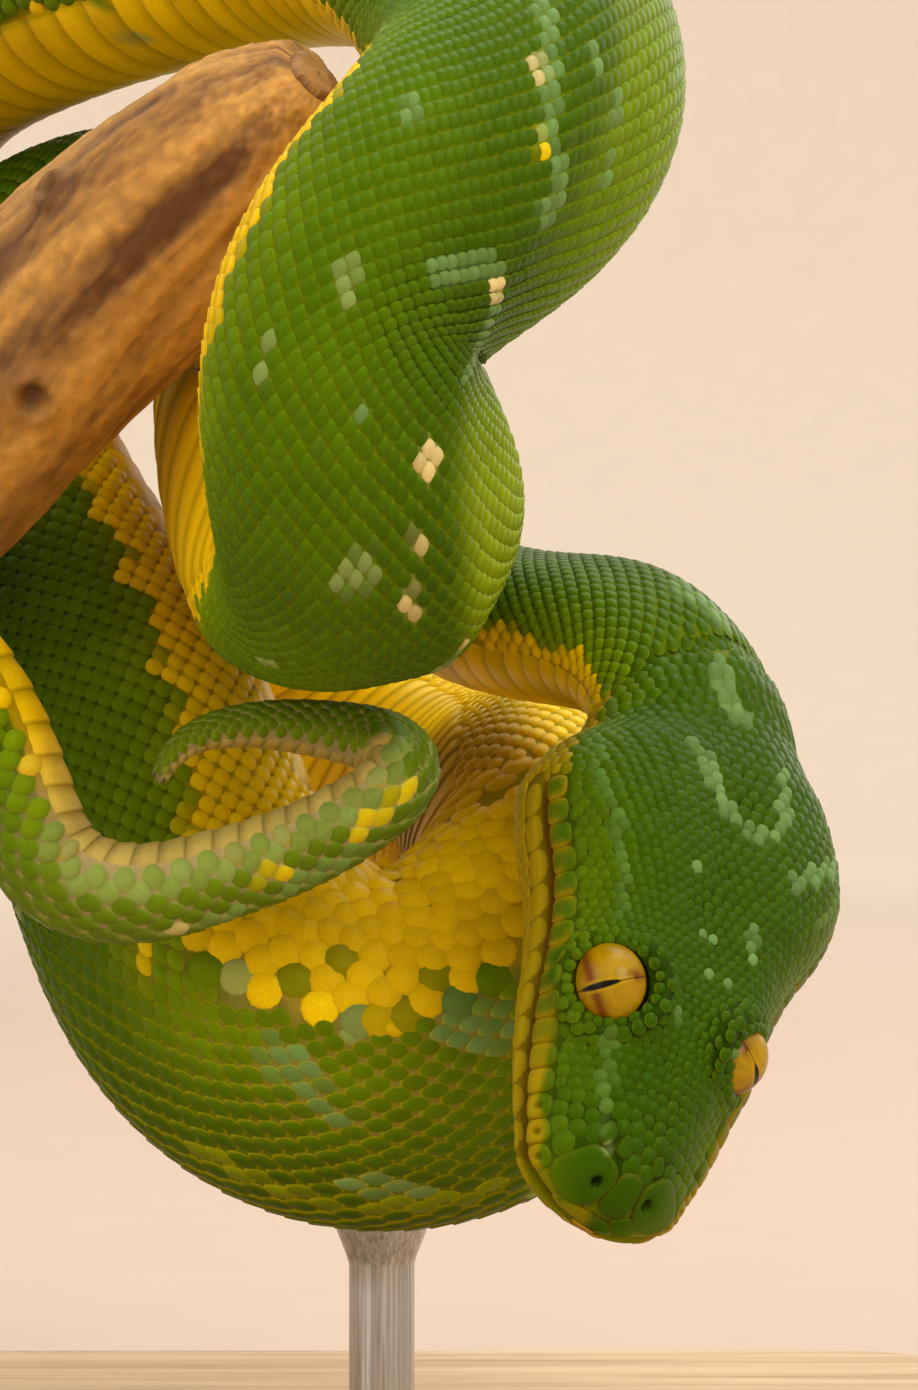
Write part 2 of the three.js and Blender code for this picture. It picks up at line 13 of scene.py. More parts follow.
import bpy
import numpy as np
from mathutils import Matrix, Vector


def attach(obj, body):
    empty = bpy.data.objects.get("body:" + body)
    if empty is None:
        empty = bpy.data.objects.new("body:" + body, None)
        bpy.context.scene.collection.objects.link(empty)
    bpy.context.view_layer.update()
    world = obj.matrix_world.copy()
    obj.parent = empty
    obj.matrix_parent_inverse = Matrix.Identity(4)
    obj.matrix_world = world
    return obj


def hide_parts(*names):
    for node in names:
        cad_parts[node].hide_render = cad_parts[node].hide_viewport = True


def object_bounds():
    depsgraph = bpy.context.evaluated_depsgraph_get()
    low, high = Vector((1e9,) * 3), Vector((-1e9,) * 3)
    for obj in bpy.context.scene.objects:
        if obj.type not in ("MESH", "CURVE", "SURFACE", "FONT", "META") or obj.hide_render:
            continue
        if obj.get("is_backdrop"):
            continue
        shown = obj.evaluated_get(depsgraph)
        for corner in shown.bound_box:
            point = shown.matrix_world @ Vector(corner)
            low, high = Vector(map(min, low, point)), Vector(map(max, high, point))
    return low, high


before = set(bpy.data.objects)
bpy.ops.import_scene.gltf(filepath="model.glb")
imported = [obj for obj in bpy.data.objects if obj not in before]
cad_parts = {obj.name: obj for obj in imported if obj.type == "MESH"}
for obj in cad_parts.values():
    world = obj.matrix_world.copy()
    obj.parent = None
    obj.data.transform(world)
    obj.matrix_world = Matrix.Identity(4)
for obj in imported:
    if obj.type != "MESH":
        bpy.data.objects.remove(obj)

Array = np.ndarray
LOG = logging.getLogger("python_scene")
CAD_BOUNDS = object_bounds()
MM = 0.001
COIL_ORIGIN = (35, -42, 0)

# Half width of the body and its half depth as a part of that, against the distance from the
# snout tip, behind the head.
GIRTH = (
    (66, 10.8, 0.84), (84, 10.0, 0.86), (100, 9.9, 0.88), (131, 10.4, 0.9), (166, 11.8, 0.9),
    (201, 14.2, 0.92), (241, 17.0, 0.94), (281, 19.0, 0.95), (330, 19.4, 0.95),
    (380, 18.8, 0.92), (430, 18.0, 0.86), (480, 17.4, 0.84), (520, 16.8, 0.84),
    (550, 15.9, 0.84), (580, 16.2, 0.84), (620, 16.9, 0.85), (660, 16.8, 0.87),
    (716, 16.3, 0.88), (796, 14.9, 0.88), (866, 13.2, 0.88), (916, 11.4, 0.88),
    (950, 9.6, 0.88), (975, 7.7, 0.88), (992, 6.3, 0.9), (1010, 5.4, 0.9), (1024, 4.9, 0.9),
    (1036, 4.2, 0.9), (1048, 3.2, 0.9), (1062, 1.6, 0.9),
)

# Sections of the head: distance from the snout tip, half width, height and depth.
HEAD_SECTIONS = (
    (0, 8.2, 5.6, 3.4), (5, 9.2, 6.8, 4.0), (10, 10.8, 8.2, 5.0), (15, 12.0, 9.4, 5.9),
    (20, 12.8, 10.6, 6.8), (26, 13.4, 11.4, 7.8), (32, 14.8, 12.0, 8.8), (38, 17.3, 12.4, 9.5),
    (44, 18.4, 12.0, 9.6), (50, 16.2, 11.2, 9.2), (56, 12.6, 10.0, 8.8), (66, 10.8, 9.3, 8.4),
)

# How much narrower the head's roof is than its lips, against the distance from the snout tip.
ROOF_NARROWING = (
    (0, 0.2), (8, 0.34), (16, 0.32), (22, 0.2), (32, 0.1), (50, 0.04),
)

# Control points of the centre line: a place in the coil's own zero and the spine's direction.
COIL_ROUTE = (
    (12.0, -14.7, 48.7, 0.54, -0.74, 0.4), (14.4, -8.8, 56.6, 0.54, -0.74, 0.4),
    (16.9, -2.9, 65.2, 0.54, -0.74, 0.4), (19.5, 3, 73.9, 0.54, -0.74, 0.4),
    (22, 8.9, 82.5, 0.54, -0.74, 0.4), (24, 14.8, 91.8, 0.53, -0.73, 0.43),
    (23.5, 19.5, 101.3, 0.55, -0.59, 0.59), (17, 27.5, 106, 0.45, -0.35, 0.8),
    (8.5, 37, 106.5, 0.3, 0, 0.95), (-1, 50, 109, 0.2, 0.1, 0.95),
    (-10, 67, 118, 0.15, -0.1, 0.97), (-16, 86, 125, 0, 0.3, 0.95),
    (-23, 103, 121, -0.1, 0.8, 0.6), (-24, 113, 106, 0, 1, 0.1), (-13, 111, 92, 0.3, 0.8, -0.5),
    (0, 96, 86, 0.6, 0.5, -0.6), (7, 77, 86, 0.85, 0.35, -0.45),
    (9.5, 58.5, 82, 0.97, 0.15, -0.2), (9.8, 47.5, 73.2, 0.85, -0.1, -0.5),
    (5.8, 41.5, 64.3, 0.5, -0.4, -0.75), (-3, 39, 60, 0, -0.45, -0.88),
    (-13, 38.8, 60, -0.3, -0.45, -0.85), (-22, 40.3, 64.7, -0.65, -0.45, -0.6),
    (-28.3, 43.5, 73, -0.87, -0.45, -0.3), (-33, 49, 87, -0.9, -0.35, -0.15),
    (-40.3, 57, 101, -0.92, -0.25, 0), (-50.5, 66, 116, -0.95, -0.1, 0.1),
    (-57.5, 75.5, 130, -0.95, 0.1, 0.25), (-58, 84, 140.5, -0.8, 0.3, 0.5),
    (-50.5, 87, 149.5, -0.3, 0.5, 0.8), (-39.5, 82, 153.5, 0.15, 0.45, 0.87),
    (-29, 71.5, 150.5, 0.6, 0.3, 0.75), (-20.5, 56, 141.5, 0.92, 0.1, 0.35),
    (-21, 41, 130, 0.98, -0.05, 0.15), (-19.3, 27, 120.3, 0.95, -0.1, -0.2),
    (-12.5, 13, 116, 0.75, -0.2, -0.65), (-9, 1.5, 114.8, 0.58, -0.4, -0.7),
    (-8.7, -7.8, 118.4, 0.5, -0.75, -0.4), (-11.5, -13.3, 126.5, 0.7, -0.7, 0),
    (-12, -14.7, 136.5, 0.87, -0.35, -0.25), (-5.5, -13, 145, 0.68, -0.6, -0.4),
    (2.7, -8.5, 152, 0.42, -0.88, 0), (7.5, -2.2, 159.7, 0.28, -0.88, 0.35),
    (6.4, 8, 168.5, 0.22, -0.8, 0.55), (-0.5, 20, 179.5, 0.25, -0.5, 0.8),
    (-10, 33, 183.8, 0.15, -0.2, 0.95), (-23, 44.5, 185.2, 0.05, -0.05, 1),
    (-38.5, 56.5, 184, -0.1, 0.05, 0.98), (-54, 70, 181, -0.35, 0.15, 0.92),
    (-69, 85, 176, -0.6, 0.4, 0.7), (-79, 98, 160, -0.6, 0.75, 0.3),
    (-83, 105, 141, -0.45, 0.9, 0.1), (-84, 107, 121, -0.4, 0.9, -0.1),
    (-88, 107, 104, -0.4, 0.75, -0.5), (-97, 103, 92, -0.5, 0.45, -0.75),
    (-110, 95, 90, -0.8, 0.1, -0.6), (-121, 84, 99, -0.95, -0.1, -0.1),
    (-125, 69, 115, -0.85, -0.2, 0.5), (-119, 53, 124.5, -0.5, -0.3, 0.82),
    (-107, 38, 126, -0.3, -0.45, 0.85), (-97, 26, 126, -0.25, -0.6, 0.75),
    (-87, 17, 124, -0.2, -0.75, 0.65), (-76, 11, 119.5, -0.2, -0.95, 0.2),
    (-65.5, 8, 113, -0.35, -0.85, -0.35), (-55.5, 8.5, 106, -0.5, -0.6, -0.65),
    (-48, 10, 97, -0.8, -0.4, -0.42), (-44.5, 10, 88, -0.93, -0.3, -0.2),
    (-41, 10, 81.2, -0.7, -0.3, -0.65), (-33, 10, 79.4, -0.2, -0.3, -0.93),
    (-25.5, 11, 81.6, 0.1, -0.3, -0.95), (-17.5, 12, 84, 0.2, -0.3, -0.93),
    (-10, 12, 88, 0.4, -0.3, -0.85), (-5.3, 14, 91.5, 0.85, -0.4, -0.3),
    (-7, 20, 95, 0.3, -0.5, 0.8), (-14, 22, 96.3, -0.1, -0.4, 0.9),
    (-21.5, 20, 97, -0.2, -0.4, 0.9), (-28, 17.5, 96, -0.6, -0.45, 0.65),
    (-31.5, 15, 92, -0.8, -0.5, 0.1), (-31, 13.5, 87.5, -0.8, -0.5, -0.2),
)

# Places along the perch in the coil's own zero, each with the branch's radius.
PERCH_ROUTE = (
    (-14.6, 1.6, 162, 5.0), (-17, 3.2, 160, 7.4), (-21, 5.8, 156.6, 9.6),
    (-29, 11, 150.5, 11.6), (-39, 18, 142, 12.5), (-50, 25.5, 132, 12.9),
    (-63, 33.5, 120, 12.8), (-77, 42, 107, 12.2), (-91, 49.5, 97, 11.8), (-105, 56, 89.5, 11.5),
    (-119, 62, 84.8, 11.2), (-133, 68, 81.8, 10.8),
)

# Height of the mouth line over the head's axis, against the distance from the snout tip.
MOUTH_LINE = ((0, -0.2), (21, 1.5), (42, 2.6))


def spline_rows(rows: Array, position: Array) -> Array:
    """Values of a uniform cubic B-spline through rows of numbers.

    Args:
        rows: control rows, one per whole position.
        position: places along the rows, where 0 is the first row.

    Returns:
        One row of values for each position.
    """
    last = len(rows) - 1
    padded = np.vstack([2 * rows[0] - rows[1], rows, 2 * rows[-1] - rows[-2]])
    span = np.clip(np.floor(position).astype(int), 0, last - 1)
    t = (position - span)[:, None]
    weights = ((1 - t) ** 3, 3 * t**3 - 6 * t * t + 4, -3 * t**3 + 3 * t * t + 3 * t + 1, t**3)
    return sum(weight * padded[span + k] for k, weight in enumerate(weights)) / 6


def read_table(table: tuple, place: Array) -> Array:
    """Smooth reading of a table of (place, value, ...) rows, by cubic pieces with averaged slopes.

    Args:
        table: rows in rising order of place.
        place: places to read, of any shape.

    Returns:
        The values, with one more axis than place.
    """
    rows = np.asarray(table, float)
    x, y = rows[:, 0], rows[:, 1:]
    step = np.arange(len(x))
    before, after = np.maximum(step - 1, 0), np.minimum(step + 1, len(x) - 1)
    slope = (y[after] - y[before]) / (x[after] - x[before])[:, None]
    place = np.clip(np.asarray(place, float), x[0], x[-1])
    k = np.clip(np.searchsorted(x, place, side="right") - 1, 0, len(x) - 2)
    width = (x[k + 1] - x[k])[..., None]
    t = (place - x[k])[..., None] / width
    return (
        (2 * t**3 - 3 * t * t + 1) * y[k]
        + (t**3 - 2 * t * t + t) * width * slope[k]
        + (3 * t * t - 2 * t**3) * y[k + 1]
        + (t**3 - t * t) * width * slope[k + 1]
    )


def running_length(points: Array) -> Array:
    """Length along a row of points up to each of them."""
    steps = np.linalg.norm(np.diff(points, axis=0), axis=1)
    return np.concatenate([[0], np.cumsum(steps)])


def unit(vectors: Array) -> Array:
    """Vectors scaled to a length of one along their last axis."""
    return vectors / np.maximum(np.linalg.norm(vectors, axis=-1, keepdims=True), 1e-12)


def smooth(low: float, high: float, value: Array) -> Array:
    """Eased step from 0 at low to 1 at high."""
    t = np.clip((value - low) / (high - low), 0, 1)
    return t * t * (3 - 2 * t)


def bump(value: Array, middle: float, spread: float) -> Array:
    """Bell-shaped weight, 1 at the middle and about 0.37 at one spread from it."""
    return np.exp(-(((value - middle) / spread) ** 2))


def swung(angle: Array) -> Array:
    """The same direction as an angle between minus half a turn and half a turn."""
    return np.arctan2(np.sin(angle), np.cos(angle))


@dataclass
class CoilRoute:
    """Centre line of the animal, with the direction of its spine.

    Attributes:
        rows: control points, each a place and a spine direction, in the coil's own zero.
        origin: where the coil's own zero lies in the shared frame.
        samples_per_span: samples between two control points when its length is measured.
        reach: half the step, in millimetres, over which direction and bend are read.
        grain: spacing of the stored frames in millimetres.
    """

    rows: tuple = COIL_ROUTE
    origin: tuple = COIL_ORIGIN
    samples_per_span: int = 16
    reach: float = 1.5
    grain: float = 0.25

    def __post_init__(self) -> None:
        """Measures the line and stores a frame at every grain of its length."""
        self.table = np.array(self.rows, float)
        count = (len(self.table) - 1) * self.samples_per_span
        positions = np.arange(count + 1) / self.samples_per_span
        points = spline_rows(self.table, positions)[:, :3]
        self.places = running_length(points)
        self.positions = positions
        self.length = float(self.places[-1])
        stations = np.arange(0, self.length + self.grain, self.grain)
        self.stations = np.minimum(stations, self.length)
        self.frames = np.concatenate(self._frames(self.stations), axis=1)

    def _position(self, distance: Array) -> Array:
        """Position along the control rows of distances from the snout tip."""
        ahead = distance / (self.places[1] * self.samples_per_span)
        return np.where(distance <= 0, ahead, np.interp(distance, self.places, self.positions))

    def _point(self, distance: Array) -> Array:
        """Points of the centre line at distances from the snout tip."""
        return spline_rows(self.table, self._position(distance))[:, :3] + np.array(self.origin)

    def _frames(self, distance: Array) -> tuple:
        """Centre, run towards the tail, spine direction, side and bend at each distance."""
        centre = self._point(distance)
        before, after = self._point(distance - self.reach), self._point(distance + self.reach)
        along = unit(after - before)
        spine = spline_rows(self.table, self._position(distance))[:, 3:]
        spine = unit(spine - (spine * along).sum(1, keepdims=True) * along)
        side = np.cross(along, spine)
        bend = (after + before - 2 * centre) / self.reach**2
        return centre, along, spine, side, bend

    def frame(self, distance: Array) -> list:
        """Centre, along, spine, side and bend, read between the stored frames."""
        index = np.clip(distance / self.grain, 0, len(self.stations) - 2)
        low = np.floor(index).astype(int)
        part = (index - low)[..., None]
        mixed = self.frames[low] * (1 - part) + self.frames[low + 1] * part
        return [mixed[..., 3 * k : 3 * k + 3] for k in range(5)]


@dataclass
class BodyForm:
    """Outer surface of the animal, a formula of distance from the snout and angle from the spine.

    Attributes:
        route: the centre line.
        ridge_rise, ridge_spread: the vertebral ridge's height and width.
        belly_flat: how far the belly is flattened.
        bend_limit, bend_softness: how the inner side of a bend is pressed in.
        fold_limit, fold_fill, fold_place: how much fuller the inner side of the lower loop is
            in its bend and in its section, and between which distances.
        fold_ease: how far outside and inside those distances this eases in.
        snout_round: length over which the snout closes.
        neck_blend: distances over which the head's sections turn into the neck's.
        squareness: below 1 the head's sections are squarer than an ellipse.
        brow_rise, brow_length, brow_around: the brows over the eyes.
        hollow, hollow_station, hollow_length, hollow_width: the hollow between the jaw muscles.
        mouth_corner: distance of the mouth's corner behind the snout tip.
        eye_station, eye_offset, eye_height, eye_radius: place and size of the eyes.
        eye_drop: how much lower the left eye stands than the right one.
        nostril: place of each nostril on the snout's chart, across and back from the tip.
        snout_middle: how far the chart's middle lies to the left of the spine's line.
        tail_end, tail_round: where the tail closes and over what length.
    """

    route: CoilRoute
    ridge_rise: float = 0.08
    ridge_spread: float = 0.32
    belly_flat: float = 0.88
    bend_limit: float = 0.88
    bend_softness: float = 0.8
    fold_limit: float = 0.2
    fold_fill: float = 0.3
    fold_place: tuple = (264, 318)
    fold_ease: tuple = (8, 10)
    snout_round: float = 5
    neck_blend: tuple = (50, 66)
    squareness: float = 0.84
    brow_rise: float = 0.07
    brow_length: float = 5
    brow_around: tuple = (0.62, 0.22)
    hollow: float = 1.5
    hollow_station: float = 36
    hollow_length: float = 13
    hollow_width: float = 4.5
    mouth_corner: float = 42
    eye_station: float = 21.5
    eye_offset: float = 7.3
    eye_height: float = 7.2
    eye_radius: float = 4.2
    eye_drop: float = 1.3
    nostril: tuple = (2.7, 5.3)
    snout_middle: float = 0.6
    tail_end: float = 1063.8
    tail_round: float = 2.3

    def __post_init__(self) -> None:
        """Measures the snout's profile from its tip, for the chart that its shields lie on."""
        self.snout_stations = np.linspace(0, 16, 161)
        points = self.surface(self.snout_stations, 0 * self.snout_stations)
        self.snout_lengths = running_length(points)

    def half_width(self, distance: Array) -> Array:
        """Half width of the head or the body at each distance."""
        head, trunk = read_table(HEAD_SECTIONS, distance), read_table(GIRTH, distance)
        return head[..., 0] + (trunk[..., 0] - head[..., 0]) * smooth(*self.neck_blend, distance)

    def chart(self, distance: Array, angle: Array) -> tuple:
        """Flat chart of the snout: across and back of its tip, by the length of skin from it."""
        run = np.interp(distance, self.snout_stations, self.snout_lengths)
        return run * np.sin(angle), run * np.cos(angle)

    def off_chart(self, across: Array, back: Array) -> tuple:
        """Distance and angle of places on the snout's chart."""
        run = np.hypot(across, back)
        return np.interp(run, self.snout_lengths, self.snout_stations), np.arctan2(across, back)

    def to_nostril(self, across: Array, back: Array) -> Array:
        """Distance on the snout's chart from the nearer nostril, which is longer than wide."""
        aside = np.abs(across - self.snout_middle) - self.nostril[0]
        return np.hypot(aside, 0.7 * (back - self.nostril[1]))

    def folding(self, distance: Array) -> Array:
        """Weight of the lower loop's fuller inner side, eased in and out at its ends."""
        low, high = self.fold_place
        outer, inner = self.fold_ease
        return (smooth(low - outer, low + inner, distance)
                * smooth(high + outer, high - inner, distance))

    def trunk_outline(self, distance: Array, angle: Array) -> tuple:
        """Side and spine coordinates of the trunk's section, an ellipse with a low ridge."""
        half, ratio = np.moveaxis(read_table(GIRTH, distance), -1, 0)
        ridge = self.ridge_rise * half * bump(swung(angle), 0, self.ridge_spread)
        fuller = self.fold_fill * self.folding(distance)
        flat = np.where(np.cos(angle) < 0, self.belly_flat + fuller, 1)
        return half * np.sin(angle), half * ratio * np.cos(angle) * flat + ridge

    def head_outline(self, distance: Array, angle: Array) -> tuple:
        """Side and spine coordinates of the head's section, squarish with a narrow roof."""
        half, height, depth = np.moveaxis(read_table(HEAD_SECTIONS, distance), -1, 0)
        ahead = np.clip(distance / self.snout_round, 0, 1)
        closing = np.sqrt(1 - (1 - ahead) ** 2)
        sine, cosine = np.sin(angle), np.cos(angle)
        above = cosine > 0
        up = np.sign(cosine) * np.abs(cosine) ** self.squareness
        narrowing = np.where(above, read_table(ROOF_NARROWING, distance)[..., 0] * up * up, 0)
        across = np.sign(sine) * np.abs(sine) ** self.squareness * (1 - narrowing)
        near_brow = bump(distance, self.eye_station + 1, self.brow_length)
        on_brow = np.where(above, bump(np.abs(sine), *self.brow_around), 0)
        brow = 1 + self.brow_rise * near_brow * on_brow
        side = half * across * brow
        muscles = bump(distance, self.hollow_station, self.hollow_length)
        dip = self.hollow * muscles * np.where(above, bump(side, 0, self.hollow_width), 0)
        rise = np.where(above, height, depth) * up * brow - dip
        return side * closing, rise * closing

    def outline(self, distance: Array, angle: Array) -> tuple:
        """Section of the whole animal, the head's blended into the trunk's behind the jaw."""
        ease = smooth(*self.neck_blend, distance)
        head, trunk = self.head_outline(distance, angle), self.trunk_outline(distance, angle)
        return tuple(h + (t - h) * ease for h, t in zip(head, trunk))

    def surface(self, distance: Array, angle: Array) -> Array:
        """Points of the outer surface, with the inner side of each bend pressed in.

        Args:
            distance: distances from the snout tip, in millimetres.
            angle: angles from the spine towards the animal's left, of the same shape.

        Returns:
            Points in millimetres, with one more axis than distance.
        """
        centre, _, spine, side, bend = self.route.frame(distance)
        across, rise = self.outline(distance, angle)
        ending = np.clip((distance - self.tail_end) / self.tail_round + 1, 0, 1)
        closing = np.sqrt(1 - ending**2)[..., None]
        offset = (side * across[..., None] + spine * rise[..., None]) * closing
        tightness = np.linalg.norm(bend, axis=-1, keepdims=True)
        inward = bend / np.maximum(tightness, 1e-5)
        fold = self.folding(distance)[..., None]
        limit = (self.bend_limit + self.fold_limit * fold) / np.maximum(tightness, 1e-5)
        soft = limit * self.bend_softness
        reach = (offset * inward).sum(-1, keepdims=True)
        pressed = soft + (limit - soft) * np.tanh((reach - soft) / (limit - soft))
        return centre + offset + np.where(reach > soft, pressed - reach, 0) * inward

    def normal(self, distance: Array, angle: Array, step: float = 0.3) -> Array:
        """Outward directions of the outer surface, from its slopes along and round the body."""
        turn, behind = step / 12, np.maximum(distance - step, 0)
        along = self.surface(distance + step, angle) - self.surface(behind, angle)
        around = self.surface(distance, angle + turn) - self.surface(distance, angle - turn)
        return unit(np.cross(around, along))

    def mouth_angle(self, distance: Array) -> Array:
        """Angle from the spine of the mouth line, where the section passes the mouth's height."""
        rise = read_table(MOUTH_LINE, distance)[..., 0]
        height, depth = np.moveaxis(read_table(HEAD_SECTIONS, distance), -1, 0)[1:]
        part = np.abs(rise) / np.where(rise > 0, height, depth)
        return np.pi / 2 - np.sign(rise) * np.arcsin(np.minimum(part, 1) ** (1 / self.squareness))

    def eye_frame(self) -> tuple:
        """Middle of the head's section at the eyes, and the directions back, up and left."""
        return tuple(part[0] for part in self.route.frame(np.array([self.eye_station]))[:4])

    def eye_centre(self, side: int) -> Array:
        """Centre of an eye, with side 1 for the animal's left and -1 for its right."""
        centre, _, spine, left = self.eye_frame()
        low = self.eye_drop if side > 0 else 0
        aside = side * self.eye_offset + 0.4 * low
        return centre + left * aside + spine * (self.eye_height - low)

    def to_eye(self, points: Array) -> Array:
        """Distance of points from the nearer eye's centre."""
        gaps = (np.linalg.norm(points - self.eye_centre(side), axis=-1) for side in (1, -1))
        return np.minimum(*gaps)

    def relief(self, distance: Array, angle: Array) -> Array:
        """Height of the skin's own relief over the outer surface, in millimetres.

        The mouth is a groove that fades behind its corner, with a soft lip on either side. The
        back of the head swells a little over a fold that runs round the neck. A hollow lies in
        front of each eye and along the snout's midline, and the nostrils are pits.
        """
        turn = np.abs(swung(angle))
        across, back = self.chart(distance, angle)
        radius = np.minimum(0.5 * (self.half_width(distance) + 9), np.hypot(across, back) + 0.05)
        off = (turn - self.mouth_angle(distance)) * radius
        present = smooth(self.mouth_corner + 3, self.mouth_corner - 2, distance)
        rise = -1.5 * present * bump(off, 0, 0.42) + 0.3 * present * bump(np.abs(off), 1.5, 0.9)
        fold = distance - (60.5 + 2 * np.cos(turn * 1.3))
        around = smooth(2.1, 1.4, turn)
        rise += around * (0.45 * bump(fold, -2.6, 2.2) - 0.75 * bump(fold, 0, 0.8))
        rise -= 0.45 * bump(distance, 13, 4.5) * bump(turn, 0.98, 0.24)
        rise -= 0.3 * bump(distance, 12, 6) * bump(turn, 0, 0.16)
        off = self.to_eye(self.surface(distance, angle))
        left = angle > 0
        brow = np.where(left, 0.2, 0.4) + np.where(left, 2.3, 1.3) * bump(turn, 0.26, 0.22)
        brow += np.where(left, 0.1, 0.7) * bump(turn, 1.15, 0.25)
        rise += brow * bump(off, self.eye_radius + 0.9, 0.85)
        rise += 0.55 * bump(distance, 40, 7) * bump(turn, 0.85, 0.35)
        pit = bump(self.to_nostril(across, back), 0, 0.45)
        return rise - 1.2 * np.where(distance < 10, pit, 0)

    def skin_point(self, distance: Array, angle: Array, lift: float = 0) -> tuple:
        """Points over the relief, raised by lift along the normal, and those normals."""
        normal = self.normal(distance, angle)
        height = (self.relief(distance, angle) + lift)[..., None]
        return self.surface(distance, angle) + normal * height, normal

    def stretch(self, distance: Array, angle: Array, step: float = 0.5) -> Array:
        """How far a millimetre of centre line is drawn out on the surface at each place."""
        ahead, behind = self.surface(distance + step, angle), self.surface(distance - step, angle)
        return np.linalg.norm(ahead - behind, axis=-1) / (2 * step)

    def girdle(self, distance: Array, low: float, high: float, count: int = 181) -> tuple:
        """Angles round the body and the length of skin up to each, for many distances.

        Returns:
            The angles from low to high and, for each distance, the running length along them.
        """
        angles = np.linspace(low, high, count)
        points = self.surface(*np.broadcast_arrays(distance[:, None], angles[None]))
        steps = np.linalg.norm(np.diff(points, axis=1), axis=-1)
        run = np.cumsum(steps, axis=1)
        return angles, np.concatenate([np.zeros((len(distance), 1)), run], axis=1)


# ------------------------------------------------------------------ meshes


def linear(rgb: tuple) -> Array:
    """Linear colour of an sRGB triple of 0 to 255."""
    c = np.asarray(rgb, float) / 255
    return np.where(c <= 0.04045, c / 12.92, ((c + 0.055) / 1.055) ** 2.4)


def blend(low: Array, high: Array, part: Array) -> Array:
    """Mix of two colours or rows of colours, by a weight for each row."""
    return low + (high - low) * np.asarray(part)[..., None]


def value_noise(points: Array, size: float, seed: int) -> Array:
    """Smooth random values of -1 to 1 at points, from a hashed lattice of the given size."""
    place = points / size + seed * 17.3
    cell = np.floor(place).astype(np.int64)
    part = place - cell
    part = part * part * (3 - 2 * part)
    total = 0
    for corner in range(8):
        step = np.array([corner & 1, corner >> 1 & 1, corner >> 2 & 1])
        key = (cell + step) @ np.array([73856093, 19349663, 83492791])
        key = (key ^ (key >> 13)) * 1274126177 & 0x7FFFFFFF
        weight = np.where(step, part, 1 - part).prod(axis=-1)
        total = total + weight * ((key % 65536) / 32768 - 1)
    return total


def grid_faces(rows: int, columns: int, closed: bool) -> Array:
    """Quads of a grid of points stored row by row, with its columns joined up if closed."""
    i = np.arange(rows - 1)[:, None]
    j = np.arange(columns if closed else columns - 1)[None]
    a, b = i * columns + j, i * columns + (j + 1) % columns
    return np.stack([a, b, b + columns, a + columns], axis=-1).reshape(-1, 4)


def split(quads: Array) -> Array:
    """Two triangles for each quad."""
    return np.concatenate([quads[:, [0, 1, 2]], quads[:, [0, 2, 3]]])


def fan(hub: int, first: int, count: int) -> Array:
    """Triangles from one vertex to a closed ring of count vertices that begins at first."""
    j = np.arange(count)
    return np.stack([np.full_like(j, hub), first + j, first + (j + 1) % count], axis=1)


def closed_faces(rows: int, columns: int) -> Array:
    """Triangles of a row of rings closed by a fan at either end, with both hubs stored last."""
    total = rows * columns
    sides = split(grid_faces(rows, columns, True))
    start, end = fan(total, 0, columns), fan(total + 1, total - columns, columns)
    return np.concatenate([sides, start[:, [0, 2, 1]], end])


def turned(profile: list, sides: int) -> Array:
    """Rings of points turned about the upright axis from rows of radius and height."""
    turn = 2 * np.pi * np.arange(sides) / sides
    radius, height = np.array(profile).T[..., None]
    return np.stack(np.broadcast_arrays(
        radius * np.cos(turn), radius * np.sin(turn), height), axis=-1)


def copied(faces: Array, copies: int, size: int) -> Array:
    """The same faces for each of many runs of size vertices."""
    return faces[None] + (np.arange(copies) * size)[:, None, None]


def map_places(columns: int, rows: int, low: float, high: float) -> Array:
    """Places on the flat map for a grid of points, from low to high along its rows."""
    return np.stack(np.meshgrid(
        np.linspace(0.01, 0.99, columns), np.linspace(low, high, rows)), axis=-1)


def map_patch(middle: Array, offset: Array) -> Array:
    """Places on the flat map of a scale's vertices, in a small patch about its middle."""
    return np.clip(middle * 0.99 + 0.005 + 0.0015 * offset, 0, 1)


@dataclass
class MeshData:
    """A mesh being put together.

    Attributes:
        points: vertices in millimetres.
        faces: rows of vertex numbers, all of one length.
        tint: linear colour of each vertex.
        place: flat coordinates of each vertex, for the OFBake map.
    """

    points: Array
    faces: Array
    tint: Array
    place: Array

    @classmethod
    def flat(cls, *arrays: Array) -> "MeshData":
        """A mesh from points, faces, tint and place with any number of axes before the last."""
        return cls(*(array.reshape(-1, array.shape[-1]) for array in arrays))

    def build(self, name: str, material: bpy.types.Material) -> bpy.types.Object:
        """Makes the Blender object, smooth shaded, with its colours and flat map."""
        mesh = bpy.data.meshes.new(name)
        mesh.vertices.add(len(self.points))
        mesh.vertices.foreach_set("co", (self.points * MM).astype(np.float32).ravel())
        mesh.loops.add(self.faces.size)
        mesh.loops.foreach_set("vertex_index", self.faces.ravel().astype(np.int32))
        mesh.polygons.add(len(self.faces))
        starts = np.arange(len(self.faces), dtype=np.int32) * self.faces.shape[1]
        mesh.polygons.foreach_set("loop_start", starts)
        mesh.update(calc_edges=True)
        mesh.shade_smooth()
        colour = mesh.color_attributes.new("tint", "FLOAT_COLOR", "POINT")
        rgba = np.concatenate([np.clip(self.tint, 0, 1), np.ones((len(self.tint), 1))], axis=1)
        colour.data.foreach_set("color", rgba.astype(np.float32).ravel())
        layer = mesh.uv_layers.new(name="OFBake")
        layer.data.foreach_set("uv", self.place[self.faces.ravel()].astype(np.float32).ravel())
        mesh.materials.append(material)
        item = bpy.data.objects.new(name, mesh)
        bpy.context.scene.collection.objects.link(item)
        return item


